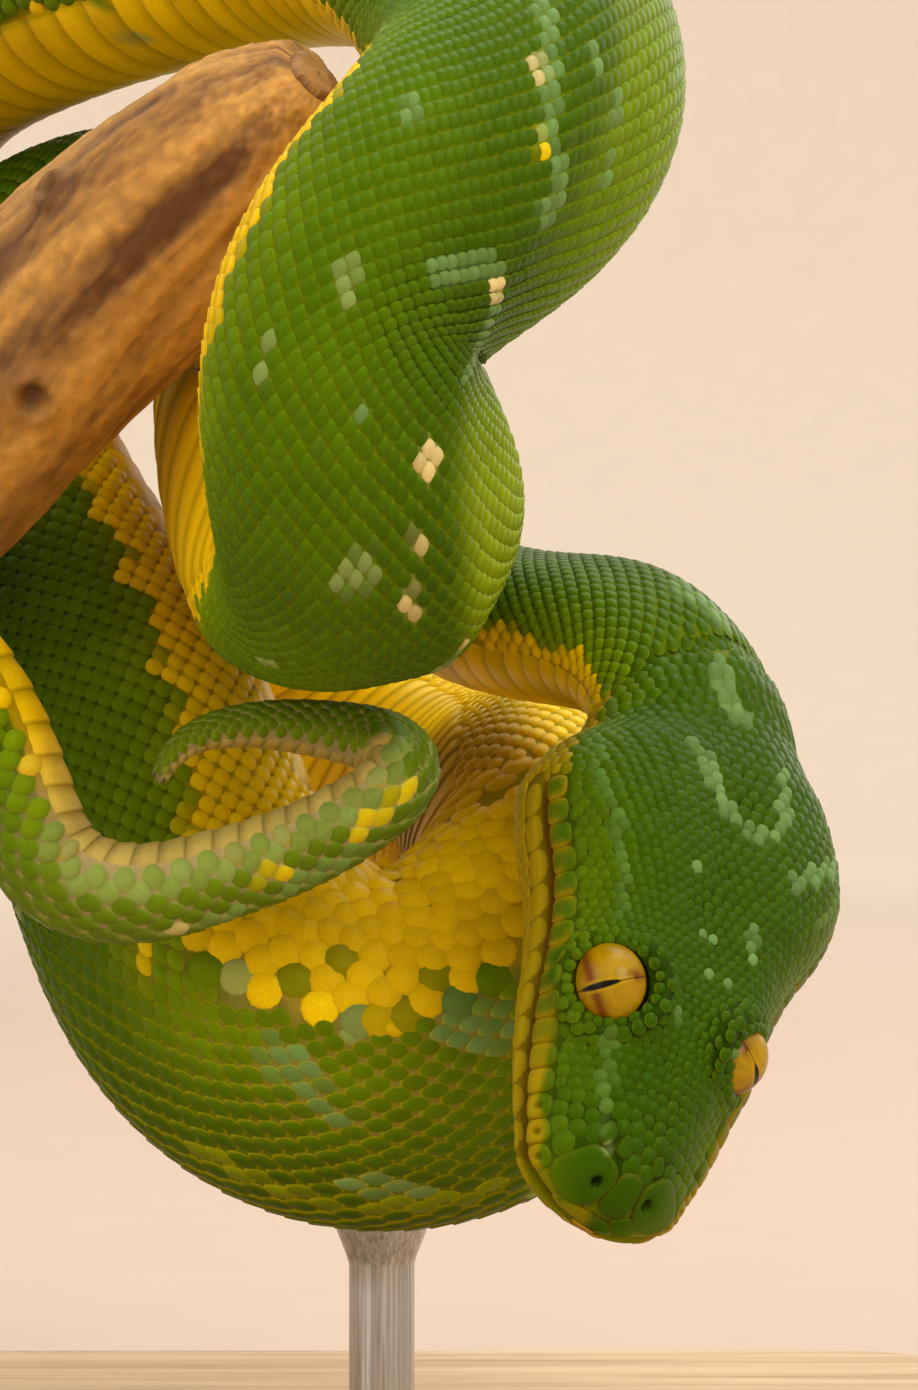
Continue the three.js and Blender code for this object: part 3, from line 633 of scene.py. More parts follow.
def joined(parts: list) -> MeshData:
    """One mesh from several with faces of one length."""
    starts = np.cumsum([0] + [len(part.points) for part in parts[:-1]])
    faces = np.concatenate([part.faces + start for part, start in zip(parts, starts)])
    points, tint, place = (
        np.concatenate([getattr(part, key) for part in parts])
        for key in ("points", "tint", "place"))
    return MeshData(points, faces, tint, place)


def show(item: bpy.types.Object, slot: str, *nodes: str) -> bpy.types.Object:
    """Puts a finished piece on the root, hides the nodes that it replaces and logs its face count.
    """
    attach(item, "root")
    if nodes:
        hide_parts(*nodes)
    LOG.info("%s: %d faces", item.name, len(item.data.polygons))
    return item


# ------------------------------------------------------------------ markings


class Hue(Enum):
    """Colours of the animal, as sRGB triples."""

    LEAF = (80, 114, 4)
    DEEP = (44, 76, 2)
    CROWN = (48, 82, 2)
    SPRING = (140, 162, 6)
    YELLOW = (242, 204, 8)
    PLATE = (216, 172, 12)
    OLIVE = (116, 92, 12)
    BLUE = (104, 138, 76)
    JADE = (80, 112, 40)
    MIST = (134, 154, 86)
    CREAM = (236, 212, 146)
    TAN = (184, 162, 84)
    PINK = (150, 130, 56)
    GUM = (112, 44, 16)
    # Painted shade inside the nostrils and the lip pits.
    PIT_SHADE = (12, 14, 4)
    LIP = (146, 124, 6)
    MOSS = (114, 128, 6)

    @property
    def colour(self) -> Array:
        """The colour as linear values."""
        return linear(self.value)


# Strokes of colour on the body. After the hue come its strokes, each a half width in
# millimetres and places of distance from the snout and degrees from the spine. A stroke of one
# place is a spot.
STROKES = (
    # head: the line behind each eye, the line down to the nostril, and the crown's mark
    (Hue.JADE, (0.8, (62, -84), (53, -70), (41, -48), (34, -44), (28, -42)),
     (0.8, (62, 80), (52, 66), (44, 52), (38, 46)),
     (0.75, (16.5, -38), (13.9, -38), (10.3, -34), (7, -30))),
    (Hue.MIST, (0.7, (5.2, -22))),
    (Hue.LIP, (0.45, (1.0, -88), (0.3, -70), (0.1, -50), (0.1, -15))),
    (Hue.BLUE, (0.85, (50.3, -20), (48.3, -12), (44.3, -3), (42.7, 6), (45.1, 14), (51.5, 18)),
     (0.95, (39.9, 24), (42.3, 33), (45.9, 51)), (0.5, (36, -10)), (0.6, (30, 0)),
     (0.5, (33, 14), (30, 21)), (0.45, (26, 3), (25.9, 6)), (0.6, (26, 15)), (0.6, (20.3, -4)),
     (0.7, (20, 32))),
    (Hue.YELLOW, (0.5, (20.3, 7))),
    # neck
    (Hue.BLUE, (1.3, (68, -6), (66, -2), (64.5, 4)), (1.2, (59.5, -13), (57.5, -7), (56.3, -2))),
    # lower loop
    (Hue.MOSS, (1.6, (316, 40), (314, 42))),
    (Hue.MIST, (1.8, (309, 68), (307, 66))),
    (Hue.BLUE, (2.0, (300.8, 57), (299.8, 54))),
    (Hue.MIST, (1.6, (296.4, 99)), (1.5, (295.6, 75))),
    (Hue.BLUE, (2.1, (286.5, 75), (284.5, 68)), (1.4, (296.4, 45)), (1.5, (294, 21), (292, 18))),
    (Hue.YELLOW, (1.2, (315, 46))),
    (Hue.LEAF, (1.6, (287, 92)), (1.3, (291, 88)), (1.3, (298, 95)), (1.6, (303, 84))),
    (Hue.YELLOW, (1.7, (299.6, 80))),
    (Hue.MOSS, (0.8, (304, 11), (299.6, 12), (296.4, 10), (290.8, 12), (286, 13))),
    # front loop
    (Hue.CREAM, (1.1, (576.4, -16))),
    (Hue.YELLOW, (0.9, (571.6, -9))),
    (Hue.CREAM, (1.3, (561.2, 0)), (1.2, (541.2, -10)), (0.45, (537, -14), (535.6, -15)),
     (0.75, (533, -19), (531.6, -15)), (0.9, (525.2, 3))),
    (Hue.BLUE, (1.0, (584, -18), (580, -15), (575.6, -12), (572.4, -7)),
     (1.2, (571.4, 3), (570, 7), (568.8, 4)),
     (1.1, (557.6, -28), (558.8, -21), (560.4, -14), (562, -6)),
     (0.8, (560, 4), (556.4, 5), (552, 6), (546.8, 6)), (0.9, (579.6, 4)), (1.1, (578.8, 21)),
     (1.0, (586.8, 57)), (0.9, (575.6, 27)), (1.0, (581.2, 76)), (1.3, (566, -62))),
    (Hue.MIST, (1.0, (575.6, -94)), (1.2, (554, -62), (553, -57)), (0.9, (548.4, -81))),
    (Hue.BLUE, (0.9, (545.2, -36))),
    (Hue.MIST, (1.2, (535.6, -40), (535.6, -32))),
    # coils at the top left
    (Hue.YELLOW, (3.0, (668, -134), (665, -148), (663, -160)),
     (2.6, (653, -138), (646, -142), (638, -146))),
    (Hue.MIST, (1.6, (659.6, -150))),
    # tail
    (Hue.MIST, (1.5, (988, -80), (1000, -80), (1011, -78), (1023, -80), (1030, -80)),
     (1.5, (988, 80), (1000, 80), (1011, 78), (1023, 80), (1030, 80))),
    (Hue.CREAM, (1.1, (1002.8, -16))),
    (Hue.BLUE, (1.1, (1004.6, -13), (1008.6, -9)), (1.1, (1014, -16), (1021, -20))),
    (Hue.YELLOW, (0.9, (1011, -50), (1014, -48)), (0.9, (1022, -50), (1027, -44))),
)

# Angle, in degrees from the spine, past which the flank is yellow, against the distance.
YELLOW_EDGE = (
    (0, 71), (50, 73), (56, 82), (66, 92), (80, 97), (125, 108), (240, 88), (285, 82), (300, 75),
    (312, 60), (324, 76), (345, 92), (400, 108), (500, 122), (530, 130), (552, 118), (575, 104),
    (600, 106), (640, 124), (700, 118), (900, 108), (985, 92), (1063, 90),
)

# Angle, in degrees from the spine, at which the wide belly plates begin.
PLATE_EDGE = (
    (60, 108), (80, 116), (180, 124), (225, 146), (255, 156), (300, 152), (345, 132), (420, 124),
    (500, 136), (530, 144), (552, 144), (580, 134), (620, 124), (900, 120), (985, 104), (1063, 100),
)

# Spacing of the scales in millimetres: distance from the snout, along the body, and round it.
SCALE_PITCH = (
    (60, 0.95, 1.6), (125, 1.1, 1.75), (200, 1.25, 2.1), (300, 1.3, 2.3), (450, 1.25, 2.2),
    (515, 1.2, 2.1), (535, 0.85, 1.9), (588, 0.85, 1.9), (606, 1.15, 2.05), (800, 1.2, 2.1),
    (900, 1.15, 2.0), (960, 1.3, 2.2), (985, 1.5, 2.7), (1030, 1.25, 2.2), (1063, 0.7, 1.0),
)

# Spacing of the belly plates in millimetres, against the distance from the snout.
PLATE_PITCH = ((60, 3.0), (150, 3.6), (300, 4.5), (800, 4.2), (985, 3.2), (1040, 2.2), (1063, 1.2))

# Spacing of the head's small scales in millimetres, against the distance from the snout.
GRAIN_PITCH = (
    (0, 1.9), (5, 1.8), (9, 1.5), (14, 1.22), (18, 1.08), (27, 1.1), (36, 1.32), (48, 1.52),
    (62, 1.5),
)


@dataclass
class Markings:
    """Colours of skin and scales as one formula of distance and angle.

    Attributes:
        form: the body's outer surface.
        seed: seed of the marks that are not listed.
        placed: distances between which all marks are listed.
        scatter: distances between which other marks are scattered.
    """

    form: BodyForm
    seed: int = 5
    placed: tuple = ((0, 72), (284, 322), (524, 592), (985, 1064))
    scatter: tuple = (78.0, 980.0)

    def __post_init__(self) -> None:
        """Adds scattered marks on the lengths where none are listed."""
        rng = np.random.default_rng(self.seed)
        self.strokes = [(hue, wide, line) for hue, *rows in STROKES for wide, *line in rows]
        distance, last = self.scatter
        while distance < last:
            distance += rng.uniform(7, 13)
            if any(low < distance < high for low, high in self.placed):
                continue
            lean, reach, pick = rng.uniform(-12, 12), rng.uniform(1, 5), rng.random()
            hue = Hue.CREAM if pick < 0.3 else Hue.MIST if pick < 0.6 else Hue.BLUE
            wide = rng.uniform(0.9, 1.8)
            self.strokes.append((hue, wide, ((distance, lean), (distance + reach, lean))))
            if pick > 0.35:
                far = rng.uniform(30, 100) * rng.choice([-1, 1])
                self.strokes.append((Hue.MIST, rng.uniform(0.8, 1.6), ((distance + 4, far),)))

    def _nearness(self, distance: Array, angle: Array, wide: float, line: tuple) -> Array:
        """Weight of a stroke, 1 on its line and fading just past its half width."""
        path = np.array(line, float)
        scale = self.form.half_width(path[:, 0].mean())
        knots = np.stack([path[:, 0], np.radians(path[:, 1]) * scale], axis=1)
        place = np.stack([distance, angle * scale], axis=-1)
        nearest = np.full(distance.shape, 1e9)
        ends = knots[1:] if len(knots) > 1 else knots
        for start, end in zip(knots, ends):
            run = end - start
            t = np.clip(((place - start) @ run) / max(run @ run, 1e-9), 0, 1)
            off = np.linalg.norm(place - start - t[..., None] * run, axis=-1)
            nearest = np.minimum(nearest, off)
        return np.exp(-((nearest / wide) ** 4))

    def yellow(self, distance: Array, angle: Array, chance: Array) -> Array:
        """Weight of the belly's yellow, with a ragged edge that follows chance."""
        turn = np.abs(swung(angle))
        edge = np.radians(read_table(YELLOW_EDGE, distance)[..., 0])
        wave = 0.05 * np.sin(distance * 0.9 + 3 * np.sin(distance * 0.21))
        return smooth(-0.04, 0.04, turn - edge + wave + 0.14 * (chance - 0.5))

    def colour(self, distance: Array, angle: Array, chance: Array) -> Array:
        """Colour of a scale or of skin at each place.

        Args:
            distance: distances from the snout tip.
            angle: angles from the spine.
            chance: a number of 0 to 1 for each place, which makes edges ragged.

        Returns:
            Linear colours.
        """
        angle = swung(angle)
        turn = np.abs(angle)
        spots = np.stack([distance, np.cos(angle) * 14, np.sin(angle) * 14], axis=-1)
        broad, fine = value_noise(spots, 14, 3), value_noise(spots, 3.5, 8)
        head = smooth(66, 52, distance)
        tint = blend(Hue.LEAF.colour, Hue.DEEP.colour, 0.75 * bump(turn, 0, 0.6) * (1 - head))
        tint = blend(tint, Hue.CROWN.colour, head)
        edge = np.radians(read_table(YELLOW_EDGE, distance)[..., 0])
        lighter = 0.5 * smooth(-0.75, 0.05, turn - edge) * (1 - 0.5 * head)
        tint = blend(tint, Hue.SPRING.colour, lighter)
        tint = blend(tint, Hue.DEEP.colour, np.clip(0.25 + 0.5 * broad + 0.3 * fine, 0, 0.75))
        # Painted light: the animal's left flank on the front loop, about distances 532 and 582, is
        # lightened towards spring green where the light falls on it.
        painted_light = bump(distance, 532, 11) * smooth(-0.1, 0.25, angle) * smooth(1.5, 1.1, angle)
        painted_light = 0.75 * painted_light + 0.4 * bump(distance, 582, 12) * smooth(0.1, 0.5, angle)
        tint = blend(tint, Hue.SPRING.colour, np.clip(painted_light, 0, 0.8))
        belly = blend(Hue.YELLOW.colour, Hue.PLATE.colour, np.clip(0.35 + 0.6 * broad, 0, 1))
        belly = blend(belly, Hue.TAN.colour, smooth(975, 990, distance))
        belly = blend(belly, Hue.LIP.colour, smooth(64, 56, distance))
        # Painted shade: the middle of the belly under the head and neck is darkened towards olive.
        painted_throat_shade = 0.75 * smooth(2.2, 2.75, turn) * smooth(90, 70, distance)
        belly = blend(belly, Hue.OLIVE.colour, painted_throat_shade)
        # Painted shade: the belly is darkened towards olive about distance 247.
        shade = 0.8 * bump(distance, 247, 13) * smooth(1.9, 2.3, turn)
        belly = blend(belly, Hue.OLIVE.colour, shade)
        tint = blend(tint, belly, self.yellow(distance, angle, chance))
        for hue, wide, line in self.strokes:
            places = [place[0] for place in line]
            near = (distance > min(places) - 3 * wide) & (distance < max(places) + 3 * wide)
            if near.any():
                weight = self._nearness(distance[near], angle[near], wide, line)
                weight = smooth(0.15, 0.45, weight - 0.35 * (chance[near] - 0.5))
                tint[near] = blend(tint[near], hue.colour, weight * (0.6 + 0.3 * chance[near]))
        return tint * (0.9 + 0.2 * chance + 0.08 * fine)[..., None]

    def between(self, distance: Array, angle: Array, stretch: Array) -> Array:
        """Colour of the skin between the scales: half as bright as the scales, as painted shade in
        the creases, and brighter where it is drawn out.
        """
        half = np.full(distance.shape, 0.5)
        turn = np.abs(swung(angle))
        tint = self.colour(distance, angle, half)
        # Painted shade: the skin between the scales is darkened to half, as in shaded creases.
        # Where the skin is drawn out it turns towards spring green.
        tint = blend(tint * 0.5, Hue.SPRING.colour * 0.7, 0.5 * smooth(1.1, 1.5, stretch))
        loop = bump(distance, 294, 17) * smooth(0.45, 0.8, turn) * smooth(1.7, 1.4, turn)
        tint = blend(tint, Hue.PINK.colour, 0.7 * loop)
        tint = blend(tint, Hue.CREAM.colour * 0.6, 0.65 * smooth(975, 995, distance))
        mouth = self.form.mouth_angle(distance)
        radius = read_table(HEAD_SECTIONS, distance)[..., 0]
        slit = bump((turn - mouth) * radius, 0, 0.5) * smooth(44, 40, distance)
        slit *= 0.35 + 0.65 * bump(distance, 32, 9)
        tint = blend(tint, Hue.GUM.colour, slit)
        return tint


# ------------------------------------------------------------------ finishes


def set_inputs(node: bpy.types.Node, values: dict) -> None:
    """Sets plain values on some of a node's inputs."""
    for key, value in values.items():
        node.inputs[key].default_value = value


class NodeSheet:
    """A new node material, with short ways to add nodes and to link them."""

    def __init__(self, name: str) -> None:
        """Makes the material with its one shader."""
        self.material = bpy.data.materials.new(name)
        self.material.use_nodes = True
        self.nodes, self.links = self.material.node_tree.nodes, self.material.node_tree.links
        self.shader = self.nodes["Principled BSDF"]

    def add(self, kind: str, **values: float) -> bpy.types.Node:
        """Adds a node and sets inputs, whose names have _ where Blender has a space."""
        node = self.nodes.new(kind)
        set_inputs(node, {key.replace("_", " "): value for key, value in values.items()})
        return node

    def link(self, source: bpy.types.Node, output: str, node: bpy.types.Node, key: str) -> None:
        """Links an output of one node to an input of another."""
        self.links.new(source.outputs[output], node.inputs[key])

    def gloss_and_bumps(self, noise: bpy.types.Node, roughness: float, spread: float,
                        strength: float, depth: float) -> None:
        """Lets one noise vary the gloss by a spread and raise fine bumps.

        Args:
            noise: the noise node.
            roughness, spread: middle roughness and how far it goes to either side.
            strength, depth: share and height in metres of the bumps.
        """
        gloss = self.add("ShaderNodeMapRange", To_Min=roughness - spread, To_Max=roughness + spread)
        self.link(noise, "Fac", gloss, "Value")
        self.link(gloss, "Result", self.shader, "Roughness")
        bumps = self.add("ShaderNodeBump", Strength=strength, Distance=depth)
        self.link(noise, "Fac", bumps, "Height")
        self.link(bumps, "Normal", self.shader, "Normal")


@dataclass(frozen=True)
class TintFinish:
    """Surface coloured by the tint attribute, broken up by fine noise in colour, gloss and height.

    Attributes:
        name: material name.
        roughness: middle roughness.
        grain: noise frequency in waves per metre.
        depth: height of the fine bumps in metres.
        vary: how much the noise lightens and darkens the colour.
        coat: weight of the clear coat.
        coat_roughness: roughness of the clear coat.
        specular: level of the plain reflection.
        sheen: colour of the plain reflection as an sRGB triple.
    """

    name: str
    roughness: float
    grain: float
    depth: float
    vary: float
    coat: float = 0.0
    coat_roughness: float = 0.2
    specular: float = 0.5
    sheen: tuple = (255, 255, 255)

    def build(self) -> bpy.types.Material:
        """Makes the node material."""
        sheet = NodeSheet(self.name)
        tint = sheet.add("ShaderNodeAttribute")
        tint.attribute_name = "tint"
        noise = sheet.add("ShaderNodeTexNoise", Scale=self.grain, Detail=4)
        sheet.link(sheet.add("ShaderNodeTexCoord"), "Object", noise, "Vector")
        level = sheet.add("ShaderNodeMapRange", From_Min=0.25, From_Max=0.75,
                          To_Min=1 - self.vary, To_Max=1 + self.vary)
        sheet.link(noise, "Fac", level, "Value")
        mix = sheet.add("ShaderNodeMix")
        mix.data_type, mix.blend_type = "RGBA", "MULTIPLY"
        mix.inputs["Factor"].default_value = 1
        sheet.link(tint, "Color", mix, "A")
        sheet.link(level, "Result", mix, "B")
        sheet.link(mix, "Result", sheet.shader, "Base Color")
        sheet.gloss_and_bumps(noise, self.roughness, 0.06, 0.6, self.depth)
        set_inputs(sheet.shader, {
            "Specular IOR Level": self.specular, "Specular Tint": (*linear(self.sheen), 1),
            "Coat Weight": self.coat, "Coat Roughness": self.coat_roughness,
        })
        return sheet.material


@dataclass(frozen=True)
class GrainFinish:
    """Two colours mixed by noise that is drawn out along one axis, for wood and brushed steel.

    Attributes:
        name: material name.
        light, dark: the two colours as sRGB triples.
        scale: noise frequency along X, Y and Z in waves per metre.
        roughness: middle roughness.
        metallic: metalness.
        depth: height of the grain in metres.
        coat: weight of the clear coat.
    """

    name: str
    light: tuple
    dark: tuple
    scale: tuple
    roughness: float
    metallic: float = 0.0
    depth: float = 0.00002
    coat: float = 0.0

    def build(self) -> bpy.types.Material:
        """Makes the node material."""
        sheet = NodeSheet(self.name)
        drawn = sheet.add("ShaderNodeMapping", Scale=self.scale)
        noise = sheet.add("ShaderNodeTexNoise", Scale=1, Detail=6, Roughness=0.62, Distortion=0.4)
        sheet.link(sheet.add("ShaderNodeTexCoord"), "Object", drawn, "Vector")
        sheet.link(drawn, "Vector", noise, "Vector")
        ramp = sheet.add("ShaderNodeValToRGB")
        for stop, at, rgb in zip(ramp.color_ramp.elements, (0.32, 0.62), (self.dark, self.light)):
            stop.position, stop.color = at, (*linear(rgb), 1)
        sheet.link(noise, "Fac", ramp, "Fac")
        sheet.link(ramp, "Color", sheet.shader, "Base Color")
        sheet.gloss_and_bumps(noise, self.roughness, 0.08, 0.5, self.depth)
        set_inputs(sheet.shader, {"Metallic": self.metallic, "Coat Weight": self.coat})
        return sheet.material


GREEN_SHEEN = (226, 255, 96)
SKIN = TintFinish("snake_skin", roughness=0.55, grain=1500, depth=0.00004, vary=0.12,
                  specular=0.12, sheen=GREEN_SHEEN)
SCALES = TintFinish("snake_scales", roughness=0.4, grain=2600, depth=0.00003, vary=0.08,
                    specular=0.16, sheen=GREEN_SHEEN)
EYE_CAP = TintFinish("eye_cap", roughness=0.3, grain=900, depth=0.00001, vary=0.04,
                     coat=0.2, coat_roughness=0.05, specular=0.08)
BARK = TintFinish("perch_bark", roughness=0.68, grain=700, depth=0.00018, vary=0.22)
PAPER = TintFinish("studio_paper", roughness=0.9, grain=40, depth=0.0001, vary=0.015)
WOOD = GrainFinish("base_wood", light=(214, 184, 142), dark=(168, 128, 84),
                   scale=(12, 260, 400), roughness=0.42, coat=0.15)
STEEL = GrainFinish("rod_steel", light=(196, 198, 200), dark=(138, 140, 143),
                    scale=(2500, 2500, 45), roughness=0.3, metallic=1.0)


# ------------------------------------------------------------------ skin


@dataclass
class Skin:
    """The one skin under the scales, from the snout to the tail tip.

    Attributes:
        form: the body's outer surface.
        marks: the colours.
        depth: how far the skin lies inside the outer surface, in millimetres.
        columns: vertices round the body.
        lip_gather: how much closer the columns stand along the mouth.
    """

    form: BodyForm
    marks: Markings
    depth: float = 0.4
    columns: int = 112
    lip_gather: float = 3.0

    def stations(self) -> Array:
        """Distances of the rings: fine on the head and the tail tip, coarser between."""
        snout = 5 * (1 - np.cos(np.linspace(0.02, np.pi / 2, 26)))
        head = np.linspace(5, 66, 160)[1:]
        trunk = np.linspace(66, 980, 525)[1:]
        tail = np.linspace(980, self.form.tail_end, 72)[1:]
        return np.concatenate([snout, head, trunk, tail])

    def angles(self) -> Array:
        """Angles of the columns, gathered along the mouth line."""
        fine = np.linspace(-np.pi, np.pi, 3601)
        density = 1 + self.lip_gather * bump(np.abs(fine), math.radians(85), math.radians(6))
        run = np.concatenate([[0], np.cumsum((density[1:] + density[:-1]) / 2)])
        return np.interp(np.arange(self.columns) / self.columns * run[-1], run, fine)

    def build(self, material: bpy.types.Material) -> bpy.types.Object:
        """Makes the skin mesh and closes it at the snout and at the tail tip."""
        distances, angles = self.stations(), self.angles()
        distance, angle = np.meshgrid(distances, angles, indexing="ij")
        points, _ = self.form.skin_point(distance, angle, -self.depth)
        tint = self.marks.between(distance, angle, self.form.stretch(distance, angle))
        place = np.stack([(angle + np.pi) / (2 * np.pi), distance / self.form.tail_end], axis=-1)
        points, tint, place = (
            np.vstack([part.reshape(-1, part.shape[-1]), part[0].mean(0), part[-1].mean(0)])
            for part in (points, tint, place))
        faces = closed_faces(len(distances), len(angles))
        return MeshData(points, faces, tint, place).build("skin", material)


# ------------------------------------------------------------------ scales


@dataclass(frozen=True)
class Granule:
    """Outline and profile of one scale, as rings about its middle.

    Attributes:
        sectors: points round its outline.
        rings: share of the outline's reach and share of the height of each ring, inner first.
        power: 2 is an ellipse, less is a lozenge and more is a rounded rectangle.
        middle: share of the height of its middle.
    """

    sectors: int = 12
    rings: tuple = ((0.76, 0.86), (1.0, -0.5))
    power: float = 1.8
    middle: float = 1.0

    def points(self) -> tuple:
        """Across, along and height of each vertex, and which of them are on the rim."""
        turn = 2 * np.pi * np.arange(self.sectors) / self.sectors
        cosine, sine = np.cos(turn), np.sin(turn)
        reach = (np.abs(cosine) ** self.power + np.abs(sine) ** self.power) ** (-1 / self.power)
        shares, rises = np.array(self.rings).T
        across, along = (
            np.concatenate([[0], np.outer(shares, reach).ravel() * np.tile(part, len(shares))])
            for part in (sine, cosine))
        height = np.concatenate([[self.middle], np.repeat(rises, self.sectors)])
        ring = np.concatenate([[0], np.repeat(shares, self.sectors)])
        return across, along, height, ring

    def faces(self) -> Array:
        """Triangles of one scale, facing outwards."""
        j = np.arange(self.sectors)
        after = (j + 1) % self.sectors
        parts = [fan(0, 1, self.sectors)[:, [0, 2, 1]]]
        for k in range(len(self.rings) - 1):
            inner, outer = 1 + k * self.sectors, 1 + (k + 1) * self.sectors
            parts.append(np.stack([inner + j, inner + after, outer + after], axis=1))
            parts.append(np.stack([inner + j, outer + after, outer + j], axis=1))
        return np.concatenate(parts)


@dataclass
class ScaleSet:
    """Many scales of one kind: places, sizes and colours, one value each.

    Attributes:
        distance, angle: where each scale's middle lies.
        length, width: its size along and round the body in millimetres.
        height: rise of its middle over the skin's outer level.
        tilt: how much its rear edge stands over its front edge.
        tint, rim: colours of its middle and of its rim.
    """

    distance: Array
    angle: Array
    length: Array
    width: Array
    height: Array
    tilt: Array
    tint: Array
    rim: Array

    def pick(self, keep: Array) -> "ScaleSet":
        """The scales where keep is true."""
        return ScaleSet(*(getattr(self, key)[keep] for key in self.__dataclass_fields__))

    def lay(self, form: BodyForm, shape: Granule, depth: float, span: tuple) -> MeshData:
        """Lays the scales on the body, each on the plane that touches its place.

        A vertex lies at middle + around * across + along * run + normal * rise, less the drop of
        the round body under it, across squared over twice the body's radius.

        Args:
            form: the body's outer surface.
            shape: the scales' outline and profile.
            depth: how far the skin lies inside the outer surface.
            span: distances that become 0 and 1 on the flat map.
        """
        across, along, rise, ring = shape.points()
        middle, normal = form.skin_point(self.distance, self.angle, -depth)
        step = 0.4
        ahead = form.surface(self.distance + step, self.angle)
        behind = form.surface(np.maximum(self.distance - step, 0), self.angle)
        run = ahead - behind
        drawn = np.linalg.norm(run, axis=-1) / (2 * step)
        run = unit(run - (run * normal).sum(-1, keepdims=True) * normal)
        side = np.cross(run, normal)
        half_length = self.length / 2 * np.clip(drawn, 0.4, 1.8)
        x = across * (self.width / 2)[:, None]
        y = along * half_length[:, None]
        girth = form.half_width(self.distance)
        drop = x**2 / (2 * girth[:, None])
        z = rise * self.height[:, None] + along * self.tilt[:, None] * (ring < 0.95) - drop
        points = (
            middle[:, None] + side[:, None] * x[..., None] + run[:, None] * y[..., None]
            + normal[:, None] * z[..., None]
        )
        share = smooth(0.7, 1.0, ring)[None, :, None]
        tint = self.tint[:, None] * (1 - share) + self.rim[:, None] * share
        root = np.stack([(swung(self.angle) + np.pi) / (2 * np.pi),
                         (self.distance - span[0]) / (span[1] - span[0])], axis=-1)
        place = map_patch(root[:, None], np.stack([across, along], axis=-1))
        faces = copied(shape.faces(), len(self.distance), len(across))
        return MeshData.flat(points, faces, tint, place)


